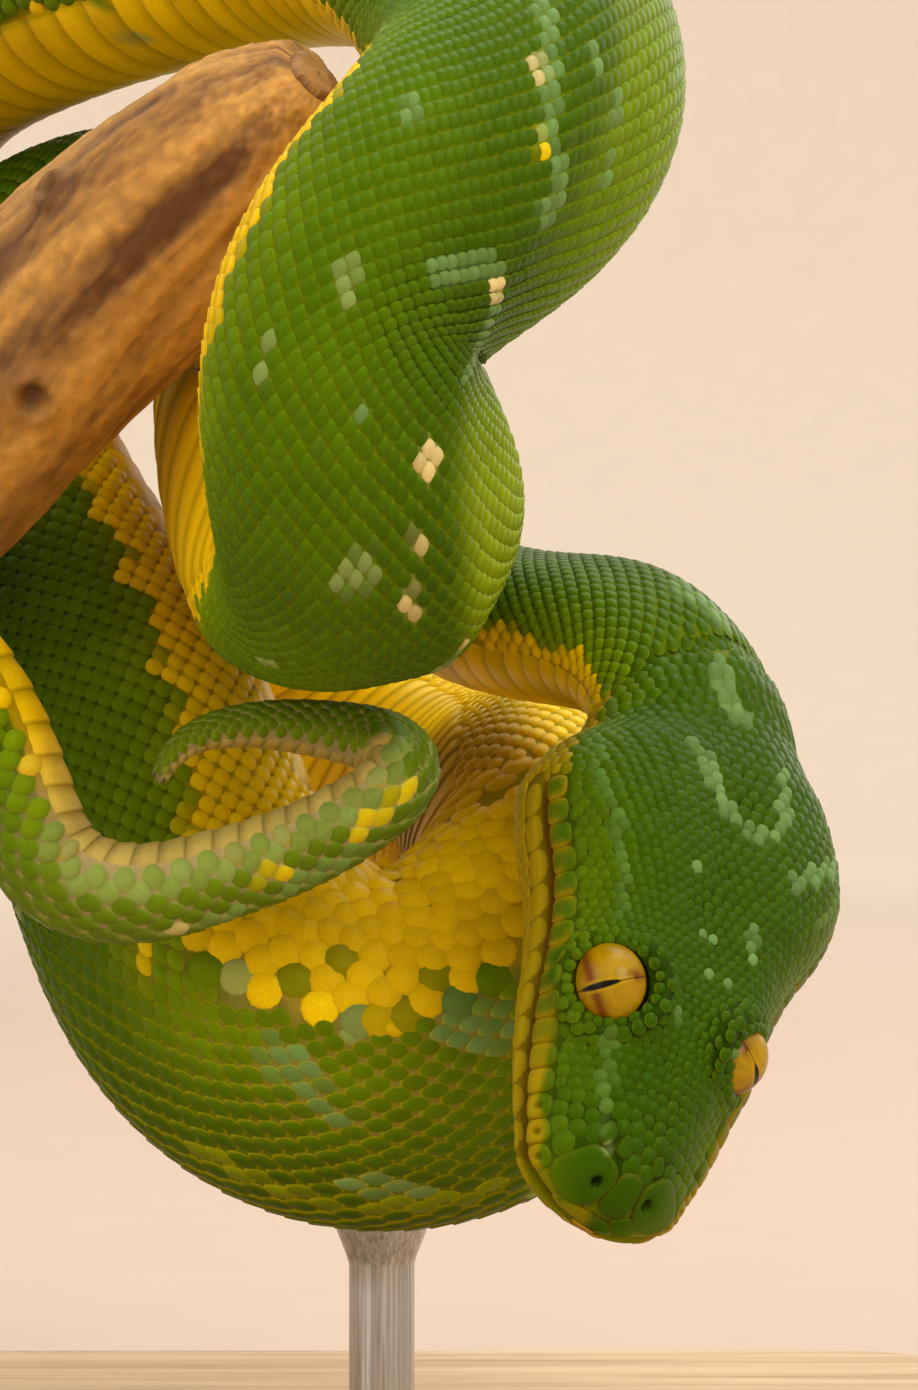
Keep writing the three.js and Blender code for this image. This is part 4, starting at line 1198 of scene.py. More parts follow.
@dataclass
class BodyCoat:
    """Scales of neck, trunk and tail, in staggered rows, and the wide plates of the belly.

    Attributes:
        form: the body's outer surface.
        marks: the colours.
        depth: how far the skin lies inside the outer surface.
        height: rise of a scale's middle as a share of its width.
        overlap: how much longer a scale is than the spacing of its row.
        spread: how much wider a scale is than the spacing of the rows.
        growth: how much wider the lowest rows are than the rows along the spine.
        fold: distances between which the belly is covered by evenly spread large scales.
        fold_pitch: spacing of those scales.
        fold_rounds: how often they push each other apart.
        seed: seed of the small differences between scales.
        plate_profile: place along a belly plate, as a share of the spacing, and rise there.
        lengths: name and ends of each piece.
    """

    form: BodyForm
    marks: Markings
    depth: float
    height: float = 0.125
    overlap: float = 1.78
    spread: float = 0.85
    growth: float = 0.55
    fold: tuple = (258, 323)
    fold_pitch: float = 3.3
    fold_rounds: int = 40
    seed: int = 11
    plate_profile: tuple = (
        (-0.08, -0.15), (0.1, 0.12), (0.55, 0.3), (1.02, 0.42), (1.14, 0.3), (1.18, -0.2),
    )
    lengths: tuple = (
        ("scales_neck", 61, 190), ("scales_fore_body", 190, 330), ("scales_mid_body_1", 330, 470),
        ("scales_mid_body_2", 470, 610), ("scales_rear_body_1", 610, 760),
        ("scales_rear_body_2", 760, 900), ("scales_tail", 900, 1063.2),
    )

    def stations(self, table: tuple, low: float, high: float) -> Array:
        """Distances spaced by the first value of a pitch table."""
        out = [low]
        while out[-1] < high:
            out.append(out[-1] + float(read_table(table, np.array(out[-1]))[0]))
        return np.array(out[:-1])

    def rows(self) -> ScaleSet:
        """Places and sizes of all small scales, row by row, staggered by half a step."""
        rng = np.random.default_rng(self.seed)
        stations = self.stations(SCALE_PITCH, 61, 1062.6)
        angles, running = self.form.girdle(stations, -np.pi, np.pi)
        edges = np.radians(read_table(PLATE_EDGE, stations)[:, 0])
        pitches = read_table(SCALE_PITCH, stations)
        distance, angle, width, length = [], [], [], []
        for k, station in enumerate(stations):
            pitch = pitches[k, 1]
            zero = np.interp(0, angles, running[k])
            left = np.interp(edges[k], angles, running[k]) - zero
            right = zero - np.interp(-edges[k], angles, running[k])
            row = np.arange(-60, 61) + 0.5 * (k % 2)
            share = np.abs(row) * pitch / np.where(row < 0, right, left)
            reach = row * pitch * (1 + 0.25 * self.growth * np.minimum(share, 1.2) ** 3)
            keep = (reach < left - 0.2 * pitch) & (reach > -right + 0.2 * pitch)
            found = np.interp(zero + reach[keep], running[k], angles)
            distance.append(np.full(len(found), station))
            angle.append(found)
            width.append(pitch * (1 + self.growth * share[keep] ** 3) * self.spread)
            length.append(np.full(len(found), pitches[k, 0] * self.overlap))
        distance, angle, width, length = map(np.concatenate, (distance, angle, width, length))
        distance = distance + rng.normal(0, 0.05, len(distance))
        keep = ~self.in_fold(distance, angle, 0)
        distance, angle, width, length = distance[keep], angle[keep], width[keep], length[keep]
        extra = self.folded(distance, angle, rng)
        size = self.fold_pitch * (0.98 + 0.06 * rng.random(len(extra[0])))
        drawn = np.clip(self.form.stretch(*extra), 0.4, 1.8)
        distance, angle = np.append(distance, extra[0]), np.append(angle, extra[1])
        width, length = np.append(width, 1.34 * size), np.append(length, 1.4 * size / drawn)
        count = len(distance)
        chance = rng.random(count)
        tint = self.marks.colour(distance, angle, chance)
        stretch = self.form.stretch(distance, angle)
        yellow = self.marks.yellow(distance, angle, chance)
        bright = blend(tint, Hue.SPRING.colour, 0.3 + 0.3 * smooth(980, 1000, distance))
        rim = blend(bright, Hue.PLATE.colour * 0.8, yellow)
        loop = bump(distance, 296, 20)
        rim = blend(rim, Hue.YELLOW.colour * 0.8, 0.5 * loop * (1 - yellow))
        flat = self.in_fold(distance, angle, 0) & (width > self.fold_pitch)
        height = width * self.height * (0.9 + 0.2 * rng.random(count)) * smooth(0.2, 0.7, stretch)
        height = np.where(flat, 0.085 * width, height)
        rim = np.where(flat[:, None], tint * 0.72, rim)
        tail = smooth(975, 995, distance) * (1 - yellow)
        rim = blend(rim, Hue.CREAM.colour * 0.7, 0.35 * tail)
        width = width * (1 + 0.07 * tail)
        tint = blend(tint, Hue.SPRING.colour, 0.25 * tail)
        return ScaleSet(distance, angle, length, width, height, 0.07 * width, tint, rim)

    def in_fold(self, distance: Array, angle: Array, spare: float) -> Array:
        """Whether places lie on the belly side of the tight turn, spare radians inside its edge."""
        turn = np.abs(swung(angle))
        edge = np.radians(read_table(YELLOW_EDGE, distance)[..., 0] - 3)
        return (distance > self.fold[0]) & (distance < self.fold[1]) & (turn > edge + spare)

    def folded(self, distance: Array, angle: Array, rng: np.random.Generator) -> tuple:
        """Places on the belly side of the tight turn, pushed apart until they are even.

        A place is one of the points of a fine grid on the surface. The first places are drawn by
        area; then each round moves them away from their neighbours and back to the nearest point.

        Args:
            distance, angle: places of the scales round about, which stay where they are.
            rng: the source of chance.

        Returns:
            Distances and angles of the new places.
        """
        low, high = self.fold
        around = np.radians(np.arange(55, 306, 1.2))
        grid = np.meshgrid(np.arange(low, high, 0.4), around, indexing="ij")
        points = self.form.surface(*grid)
        tall = np.linalg.norm(np.gradient(points, axis=0), axis=-1)
        wide = np.linalg.norm(np.gradient(points, axis=1), axis=-1)
        inside = self.in_fold(*grid, 0.04) & (tall > 0.03)
        points, area = points[inside], (tall * wide)[inside]
        spread, turned = grid[0][inside], grid[1][inside]
        pitch = self.fold_pitch
        count = int(area.sum() / (0.8 * pitch**2))
        near = (distance > low - 6) & (distance < high + 6)
        fixed = self.form.surface(distance[near], angle[near])
        chosen = rng.choice(len(points), count, replace=False, p=area / area.sum())
        square = (points**2).sum(-1)
        for _ in range(self.fold_rounds):
            place = points[chosen]
            around = np.concatenate([place, fixed])
            away = place[:, None] - around[None]
            gap = np.linalg.norm(away, axis=-1)
            reach = pitch * np.repeat([1.1, 0.75], [len(place), len(fixed)])
            weight = np.maximum(1 - gap / reach, 0) / np.maximum(gap, 0.05)
            place = place + 0.35 * pitch * (away * weight[..., None]).sum(1)
            chosen = np.argmin(square[None] - 2 * place @ points.T, axis=1)
        chosen = np.unique(chosen)
        return spread[chosen], turned[chosen]

    def plates(self, low: float, high: float, across: int = 17) -> MeshData:
        """Belly plates between two distances, each a curved strip that overlaps the next.

        Along each plate the height rises from the front edge and drops at the rear edge.
        """
        rng = np.random.default_rng(self.seed + 1)
        stations = self.stations(PLATE_PITCH, 61, 1062)
        stations = stations[(stations >= low) & (stations < high)]
        stations = stations[(stations < self.fold[0] - 1) | (stations > self.fold[1])]
        pitch = read_table(PLATE_PITCH, stations)[:, 0]
        edge = np.radians(read_table(PLATE_EDGE, stations)[:, 0]) - 0.06
        u = np.linspace(-1, 1, across)
        v, rise = np.array(self.plate_profile).T
        swing = np.pi - edge[:, None, None]
        bow = 0.35 * (1 - u**2)[None, None]
        distance = stations[:, None, None] + pitch[:, None, None] * (v[None, :, None] + bow - 0.2)
        angle = np.pi + swing * u[None, None] + 0 * distance
        distance = np.minimum(distance, self.form.tail_end - 0.4)
        tuck = smooth(1, 0.82, np.abs(u))[None, None]
        small = np.clip(pitch / 4, 0.3, 1)[:, None, None]
        height = (rise[None, :, None] * small + 0.12) * tuck - 0.15 * (1 - tuck) - self.depth
        lift = self.form.normal(distance, angle) * height[..., None]
        points = self.form.surface(distance, angle) + lift
        chance = np.broadcast_to(rng.random(len(stations))[:, None, None], distance.shape)
        tint = self.marks.colour(distance, angle, chance)
        # Painted shade: each plate darkens towards olive at its front root, which lies under the
        # plate before it, and along its rear edge.
        root = 0.6 * (smooth(0.3, 0.0, v) + 0.7 * smooth(1.05, 1.16, v))
        shade = np.broadcast_to(root[None, :, None], distance.shape)
        tint = blend(tint, Hue.OLIVE.colour * 0.6, shade)
        half = across // 2
        middle = np.stack([angle / (2 * np.pi) % 1, (distance - low) / (high - low)], axis=-1)
        offset = np.broadcast_arrays(u[None, None], 2 * v[None, :, None] - 1)
        place = map_patch(middle[:, :1, half : half + 1], np.stack(offset, axis=-1))
        triangles = split(grid_faces(len(v), across, False))
        faces = copied(triangles, len(stations), len(v) * across)
        return MeshData.flat(points, faces, tint, place)

    def build(self, material: bpy.types.Material) -> list:
        """Makes one piece of scales and plates for each length of the body."""
        scales, shape, items = self.rows(), Granule(), []
        for name, low, high in self.lengths:
            part = scales.pick((scales.distance >= low) & (scales.distance < high))
            laid = part.lay(self.form, shape, self.depth, (low, high))
            items.append(joined([laid, self.plates(low, high)]).build(name, material))
        return items


# ------------------------------------------------------------------ head

# Shields of the snout on its chart: across, back, width, length, turn in degrees, and whether a
# nostril opens in it.
SNOUT_SHIELDS = (
    (-3.3, 5.0, 5.5, 6.9, 12, True),
    (4.7, 5.0, 5.4, 6.6, -14, True),
    (0.6, 5.4, 2.7, 5.6, 4, False),
    (2.2, 2.3, 2.4, 2.2, -30, False),
    (-0.9, 1.2, 5.6, 2.2, 0, False),
    (-4.6, 9.6, 2.4, 2.6, 20, False),
    (-1.6, 9.9, 2.2, 2.4, 10, False),
    (3.4, 9.4, 1.9, 2.2, -10, False),
)


@dataclass
class HeadCoat:
    """Scales of the head: shields on the snout, lip scales, beads round the eyes, and grains.

    Attributes:
        form: the body's outer surface.
        marks: the colours.
        depth: how far the skin lies inside the outer surface.
        end: distance at which the body's scales take over.
        upper_lip, lower_lip: widths of the rows of lip scales in millimetres.
        lip_pitch: spacing of the lip scales.
        lip_gap: distance of the lip scales' edge from the middle of the mouth line.
        upper_pits: numbers of the upper lip scales that carry a pit, from the front.
        eye_beads: scales in the ring round each eye.
        rounds: how often the grains push each other apart.
        seed: seed of the small differences.
    """

    form: BodyForm
    marks: Markings
    depth: float
    end: float = 61.0
    upper_lip: float = 3.3
    lower_lip: float = 3.0
    lip_pitch: float = 2.5
    lip_gap: float = 0.5
    upper_pits: tuple = (0, 1, 2)
    eye_beads: int = 22
    rounds: int = 16
    seed: int = 3

    def __post_init__(self) -> None:
        """Measures the skin round the head at many distances, for the lip rows."""
        self.rng = np.random.default_rng(self.seed)
        self.sections = np.linspace(0.3, 63, 252)
        self.turns, self.runs = self.form.girdle(self.sections, 0, np.pi)
        self.mouth = self.form.mouth_angle(self.sections)
        self.mouth_runs = np.array(
            [np.interp(turn, self.turns, run) for turn, run in zip(self.mouth, self.runs)])

    def off_mouth(self, distance: Array, reach: Array) -> Array:
        """Angle of the place that lies reach millimetres below the mouth line, at each distance.

        The running lengths are read between the two nearest measured sections.
        """
        numbers = np.arange(len(self.sections))
        index = np.clip(np.interp(distance, self.sections, numbers), 0, numbers[-1] - 0.001)
        low, flat = np.floor(index).astype(int), np.zeros(distance.shape)
        for step in (0, 1):
            weight = 1 - step + (2 * step - 1) * (index - low)
            for k in np.unique(low + step):
                here = (low + step) == k
                at = np.interp(self.mouth_runs[k] + reach[here], self.runs[k], self.turns)
                flat[here] += weight[here] * at
        return flat

    def in_shield(self, distance: Array, angle: Array, spare: float) -> Array:
        """Whether places lie inside a snout shield or within spare millimetres of it."""
        across, back = self.form.chart(distance, angle)
        found = np.zeros(distance.shape, bool)
        for x, y, width, length, turn, _ in SNOUT_SHIELDS:
            c, s = math.cos(math.radians(turn)), math.sin(math.radians(turn))
            u, v = c * (across - x) - s * (back - y), s * (across - x) + c * (back - y)
            wide, long = 2 * np.abs(u) / (width + 2 * spare), 2 * np.abs(v) / (length + 2 * spare)
            found |= wide**3 + long**3 < 1
        return found & (distance < 14)

    def seeds(self) -> tuple:
        """Distances and angles of the grains' first places, in staggered rings."""
        distances, angles, station, k = [], [], 1.0, 0
        while station < self.end - 0.4:
            pitch = float(read_table(GRAIN_PITCH, np.array(station))[0])
            turns, run = self.form.girdle(np.array([station]), -np.pi, np.pi)
            count = int(run[0, -1] / pitch)
            places = (np.arange(count) + 0.5 * (k % 2)) / count * run[0, -1]
            angles.append(np.interp(places, run[0], turns))
            distances.append(np.full(count, station))
            drawn = float(self.form.stretch(np.array([station]), np.array([0.8]))[0])
            station, k = station + 0.87 * pitch / max(drawn, 0.6), k + 1
        return np.concatenate(distances), np.concatenate(angles)

    def push(self, points: Array, pitch: Array) -> Array:
        """How each grain is pushed by its neighbours and by the rings of beads round the eyes."""
        square = (points**2).sum(-1)
        gap = np.sqrt(np.maximum(square[:, None] + square[None] - 2 * points @ points.T, 1e-6))
        reach = 0.55 * (pitch[:, None] + pitch[None])
        weight = np.maximum(1 - gap / reach, 0) / gap
        np.fill_diagonal(weight, 0)
        push = points * weight.sum(1, keepdims=True) - weight @ points
        for side in (1, -1):
            away = points - self.form.eye_centre(side)
            off = np.linalg.norm(away, axis=-1, keepdims=True)
            clear = self.form.eye_radius + 0.75 + 0.5 * pitch[:, None]
            push += 0.5 * away / off * np.maximum(clear - off, 0)
        return push

    def grains(self) -> ScaleSet:
        """Small scales that fill the head, first in rings and then pushed apart until even."""
        form, rng = self.form, self.rng
        distance, angle = self.seeds()
        distance = distance + rng.normal(0, 0.12, distance.shape)
        turn, upper = np.abs(angle), np.abs(angle) < form.mouth_angle(distance)
        clear, whole = self.lip_gap + 0.45, np.ones(len(self.sections))
        bands = (-self.upper_lip - clear, self.lower_lip + clear)
        lips = [self.off_mouth(self.sections, reach * whole) for reach in bands]
        high, low = (np.interp(distance, self.sections, lip) for lip in lips)
        keep = np.where(upper, turn < high + 0.03, turn > low - 0.03)
        closed = form.mouth_corner + 1.5
        keep |= distance >= closed
        keep &= ~self.in_shield(distance, angle, -0.1)
        keep &= form.to_eye(form.surface(distance, angle)) > form.eye_radius + 1.0
        distance, angle, upper = distance[keep], angle[keep], upper[keep]
        step = 0.05
        for _ in range(self.rounds):
            points = form.surface(distance, angle)
            pitch = read_table(GRAIN_PITCH, distance)[..., 0]
            push = self.push(points, pitch)
            along = (form.surface(distance + step, angle) - points) / step
            around = (form.surface(distance, angle + step / 10) - points) / (step / 10)
            move = 0.35 * pitch
            distance = distance + move * (push * along).sum(-1) / (along**2).sum(-1)
            angle = swung(angle + move * (push * around).sum(-1) / (around**2).sum(-1))
            distance = np.clip(distance, 0.5, self.end - 0.3)
            high, low = (np.interp(distance, self.sections, lip) for lip in lips)
            turn = np.abs(angle)
            held = np.where(upper, np.minimum(turn, high), np.maximum(turn, low))
            angle = np.where(distance < closed, np.sign(angle) * held, angle)
        keep = ~self.in_shield(distance, angle, 0.15)
        keep &= form.to_eye(form.surface(distance, angle)) > form.eye_radius + 0.95
        distance, angle = distance[keep], angle[keep]
        count = len(distance)
        chance = rng.random(count)
        pitch = read_table(GRAIN_PITCH, distance)[..., 0]
        pitch = pitch * (1 + 0.1 * rng.normal(0, 1, count).clip(-1.5, 1.5))
        tint = self.marks.colour(distance, angle, chance)
        rim = blend(tint * 0.8, Hue.SPRING.colour, np.full(count, 0.2))
        rim = blend(rim, Hue.PLATE.colour * 0.7, smooth(1.3, 1.6, np.abs(swung(angle))))
        height = 0.15 * pitch * (0.9 + 0.3 * rng.random(count))
        length, width = 1.34 * pitch, 1.26 * pitch
        return ScaleSet(distance, angle, length, width, height, 0.06 * pitch, tint, rim)

    def beads(self) -> ScaleSet:
        """Ring of small scales round each eye, found on a fine grid of places."""
        form, sets = self.form, []
        for side in (1, -1):
            distance, angle = np.meshgrid(
                np.linspace(13, 30, 240), side * np.linspace(0.05, 1.6, 240))
            away = form.surface(distance, angle) - form.eye_centre(side)
            off = np.linalg.norm(away, axis=-1)
            _, along, spine, left = form.eye_frame()
            axis = unit(left * side * 0.64 + spine * 0.7 - along * 0.31)
            first = unit(np.cross(axis, along))
            turn = np.arctan2(away @ np.cross(axis, first), away @ first)
            goals = np.arange(self.eye_beads) + 0.3 * self.rng.random(self.eye_beads)
            for goal in 2 * np.pi * goals / self.eye_beads:
                cost = (off - form.eye_radius - 0.3) ** 2 + (4 * swung(turn - goal)) ** 2
                best = np.unravel_index(np.argmin(cost), cost.shape)
                sets.append((distance[best], angle[best]))
        distance, angle = np.array(sets).T
        count = len(distance)
        tint = self.marks.colour(distance, angle, self.rng.random(count))
        size = 1.3 * (1 + 0.08 * self.rng.normal(0, 1, count))
        return ScaleSet(distance, angle, size, size, 0.3 * size, 0 * size, tint,
                        blend(tint, Hue.SPRING.colour, np.full(count, 0.35)))

    def wrapped(self, shape: Granule, distance: Array, angle: Array, height: float,
                chance: Array, dark: Array, core: float = 0) -> MeshData:
        """Large scales whose every vertex lies on the head at its own distance and angle.

        Args:
            shape: the outline and profile that the vertices follow.
            distance, angle: places of the vertices, one row for each scale.
            height: rise of the scales over the skin.
            chance: one number for each scale, for the colour.
            dark: weight of the painted shade of the nostrils and lip pits at each vertex.
            core: weight of the crown's green in the middle of each scale.
        """
        across, along, rise, ring = shape.points()
        points, normal = self.form.skin_point(distance, angle, -self.depth)
        points = points + normal * (rise * height)[None, :, None]
        tint = self.marks.colour(distance, angle, np.broadcast_to(chance[:, None], distance.shape))
        share = np.broadcast_to(smooth(0.82, 1.0, ring)[None], distance.shape)
        tint = blend(tint, Hue.OLIVE.colour, 0.4 * share)
        green = core * smooth(0.95, 0.45, ring)
        tint = blend(tint, Hue.CROWN.colour, np.broadcast_to(green[None], distance.shape))
        # Painted shade: nostrils and lip pits are darkened almost to black.
        tint = blend(tint, Hue.PIT_SHADE.colour, dark)
        around = (angle[:, :1] + np.pi) / (2 * np.pi) % 1
        middle = np.stack([around, distance[:, :1] / self.end], axis=-1)
        place = map_patch(middle, np.stack([across, along], axis=-1)[None])
        faces = copied(shape.faces(), len(distance), len(across))
        return MeshData.flat(points, faces, tint, place)

    def shields(self) -> list:
        """The snout's shields, laid out on the flat chart of the snout."""
        rings = tuple((share, 1 - 0.1 * share) for share in np.arange(0.12, 0.9, 0.11))
        rings += ((0.93, 0.6), (1, -0.5))
        out = []
        for x, y, width, length, turn, open_nostril in SNOUT_SHIELDS:
            shape = Granule(28, rings if open_nostril else rings[2::2] + rings[-1:], 3.0)
            across, along, _, _ = shape.points()
            c, s = math.cos(math.radians(turn)), math.sin(math.radians(turn))
            u, v = across * width / 2, along * length / 2
            right, back = x + c * u + s * v, y - s * u + c * v
            distance, angle = self.form.off_chart(right[None], back[None])
            # Painted shade in the nostril opening.
            dark = smooth(0.62, 0.3, self.form.to_nostril(right, back))[None] * open_nostril
            out.append(self.wrapped(shape, distance, angle, 0.5, self.rng.random(1) * 0.5, dark))
        return out

    def lips(self) -> list:
        """Rows of lip scales over and under the mouth line, some with a pit."""
        rings = ((0.62, 0.95), (0.88, 0.62), (1.0, -0.5))
        plain = Granule(20, ((0.3, 1.0), *rings), 3.2)
        pitted = Granule(20, ((0.12, -0.2), (0.3, 0.8), *rings), 2.6, -0.6)
        out = []
        for side in (1, -1):
            for below, band, start, drawn, lift in (
                    (-1, self.upper_lip, 2.4, 1, 0.3), (1, self.lower_lip, 1.6, 1.35, 0.14)):
                run = running_length(self.form.surface(self.sections, side * self.mouth))
                first = np.interp(start, self.sections, run)
                last = np.interp(self.form.mouth_corner + 0.5, self.sections, run)
                count = int((last - first) / (self.lip_pitch * drawn))
                middles = first + (np.arange(count) + 0.5) / count * (last - first)
                size = (last - first) / count
                for number, at in enumerate(middles):
                    pit = below < 0 and number in self.upper_pits
                    shape = pitted if pit else plain
                    across, along, _, ring = shape.points()
                    wide = band * (0.75 + 0.25 * math.sin(min(at / 16, 1) * math.pi / 2))
                    wide *= 1 - 0.25 * max(0, (number - count + 4) / 4)
                    slant = 0.18 * below * across * wide / 2
                    lengthwise = at + 1.04 * along * size / 2 - slant
                    distance = np.interp(lengthwise, run, self.sections)[None]
                    reach = below * (self.lip_gap + wide / 2 * (1 + across[None]))
                    angle = side * self.off_mouth(distance, reach)
                    # Painted shade in the middle of each lip pit.
                    dark = (ring < 0.25)[None] * 0.55 * pit
                    core = 0.85 * (below < 0) * float(smooth(12, 24, np.array(at)))
                    chance = 0.3 + 0.4 * self.rng.random(1)
                    out.append(self.wrapped(shape, distance, angle, lift, chance, dark, core))
        return out

    def build(self, material: bpy.types.Material) -> list:
        """Makes the head's grains as one piece, and its shields, lips and beads as another."""
        small = Granule(12, ((0.7, 0.84), (1.0, -0.6)), 2.2)
        grains = self.grains().lay(self.form, small, self.depth, (0, self.end))
        beads = self.beads().lay(self.form, small, self.depth - 0.1, (0, self.end))
        large = joined(self.shields() + self.lips() + [beads])
        LOG.info("head grains: %d", len(grains.points) // len(small.points()[0]))
        return [grains.build("scales_head", material), large.build("shields_head", material)]


@dataclass
class Eye:
    """An eye under its clear cap: gold iris, upright slit pupil and a rust bar across it.

    The mesh is a ball drawn as rings about the line of sight, finest in front.

    Attributes:
        form: gives the place and size of the eyes.
        gaze: line of sight in the head's axes, which are back, outward and up.
        slit: direction of the slit in the same axes.
        slit_reach: half length of the slit as a part of the radius.
        slit_width: half width of the slit as a part of the radius.
        cap: middle of the part that shows, in the same axes.
        cap_angle: degrees from the cap's middle to the skin.
        size: radius of the ball.
        sink: how much deeper the ball sits than the plain solid's.
        flatten: how much narrower the ball is along the slit.
        slit_shift: how far the slit's middle lies along it from the middle of the iris.
        iris, rust, dark: the colours as sRGB triples.
        rings, sectors: how fine the mesh is.
    """

    form: BodyForm
    gaze: tuple = (-0.45, 0.50, 0.74)
    slit: tuple = (-0.365, 0.64, -0.68)
    slit_reach: float = 0.54
    slit_width: float = 0.075
    cap: tuple = (-0.33, 0.58, 0.75)
    cap_angle: float = 65
    size: float = 4.4
    sink: float = 0.45
    flatten: float = 0.12
    slit_shift: float = 0.24
    iris: tuple = (164, 130, 0)
    rust: tuple = (104, 40, 2)
    dark: tuple = (12, 9, 3)
    rings: int = 100
    sectors: int = 144

    def axes(self, side: int) -> Array:
        """The head's axes at the eye as rows: back, outward on this side, and up."""
        _, along, spine, left = self.form.eye_frame()
        return np.array([along, left * side, spine])

    def build(self, side: int, material: bpy.types.Material) -> bpy.types.Object:
        """Makes one eye, with side 1 for the animal's left and -1 for its right."""
        axes = self.axes(side)
        sight = unit(np.array(self.gaze) @ axes)
        up = np.array(self.slit) @ axes
        up = unit(up - (up @ sight) * sight)
        across = np.cross(up, sight)
        polar = np.concatenate([np.linspace(0.4, 78, self.rings - 16), np.linspace(84, 179, 16)])
        around = 2 * np.pi * np.arange(self.sectors) / self.sectors
        polar, turn = np.meshgrid(np.radians(polar), around, indexing="ij")
        x, y = np.sin(polar) * np.cos(turn), np.sin(polar) * np.sin(turn)
        ball = x[..., None] * across + y[..., None] * up + np.cos(polar)[..., None] * sight
        ball = np.vstack([ball.reshape(-1, 3), sight, -sight])
        x, y, turn = np.append(x, [0, 0]), np.append(y, [0, 0]), np.append(turn, [0, 0])
        out = np.hypot(x, y)
        spokes = np.stack([np.cos(turn) * 9, np.sin(turn) * 9, out * 1.5], axis=-1)
        streaks = value_noise(spokes, 1, 4)
        mottle = value_noise(ball * 5, 1, 9)
        iris = linear(self.iris) * (1 + 0.14 * streaks + 0.16 * mottle)[:, None]
        # The iris turns towards rust towards its edge and in mottled patches.
        outer_rust = 0.25 * smooth(0.5, 0.95, out) + 0.1 * smooth(0.2, 0.6, mottle)
        iris = blend(iris, linear(self.rust), outer_rust)
        bar = bump(y, 0.42 + 0.1 * x, 0.16 + 0.03 * streaks) * smooth(0.06, 0.14, np.abs(x))
        patch = bump(y, -0.66, 0.2) * bump(x, 0.04, 0.14)
        iris = blend(iris, linear(self.rust), np.clip(0.9 * bar + 0.9 * patch, 0, 1))
        seam = smooth(0.022, 0.008, np.abs(x)) * smooth(0.97, 0.8, np.abs(y))
        iris = blend(iris, linear(self.rust) * 0.3, 0.8 * seam)
        run = (y - self.slit_shift) / self.slit_reach
        half = self.slit_width * np.sqrt(np.clip(1 - run**2, 0, 1)) ** 1.2
        ring = 0.6 * bump(np.abs(x), half + 0.045, 0.03) * (out < 0.62)
        iris = blend(iris, linear(self.iris) * 1.25, ring)
        tint = blend(iris, linear((4, 3, 2)), smooth(0.012, -0.012, np.abs(x) - half))
        cap = unit(np.array(self.cap) @ axes)
        slope = np.degrees(np.arccos(np.clip(ball @ cap, -1, 1)))
        tint = blend(tint, linear(self.dark), smooth(self.cap_angle - 6, self.cap_angle - 1, slope))
        ball = ball - (self.flatten * y)[:, None] * up
        points = self.form.eye_centre(side) - cap * self.sink + ball * self.size
        faces = closed_faces(self.rings, self.sectors)[:, [0, 2, 1]]
        place = 0.5 + 0.45 * np.stack([x, y], axis=-1)
        name = "eyeball_left" if side > 0 else "eyeball_right"
        return MeshData(points, faces, tint, place).build(name, material)


# ------------------------------------------------------------------ perch and stand


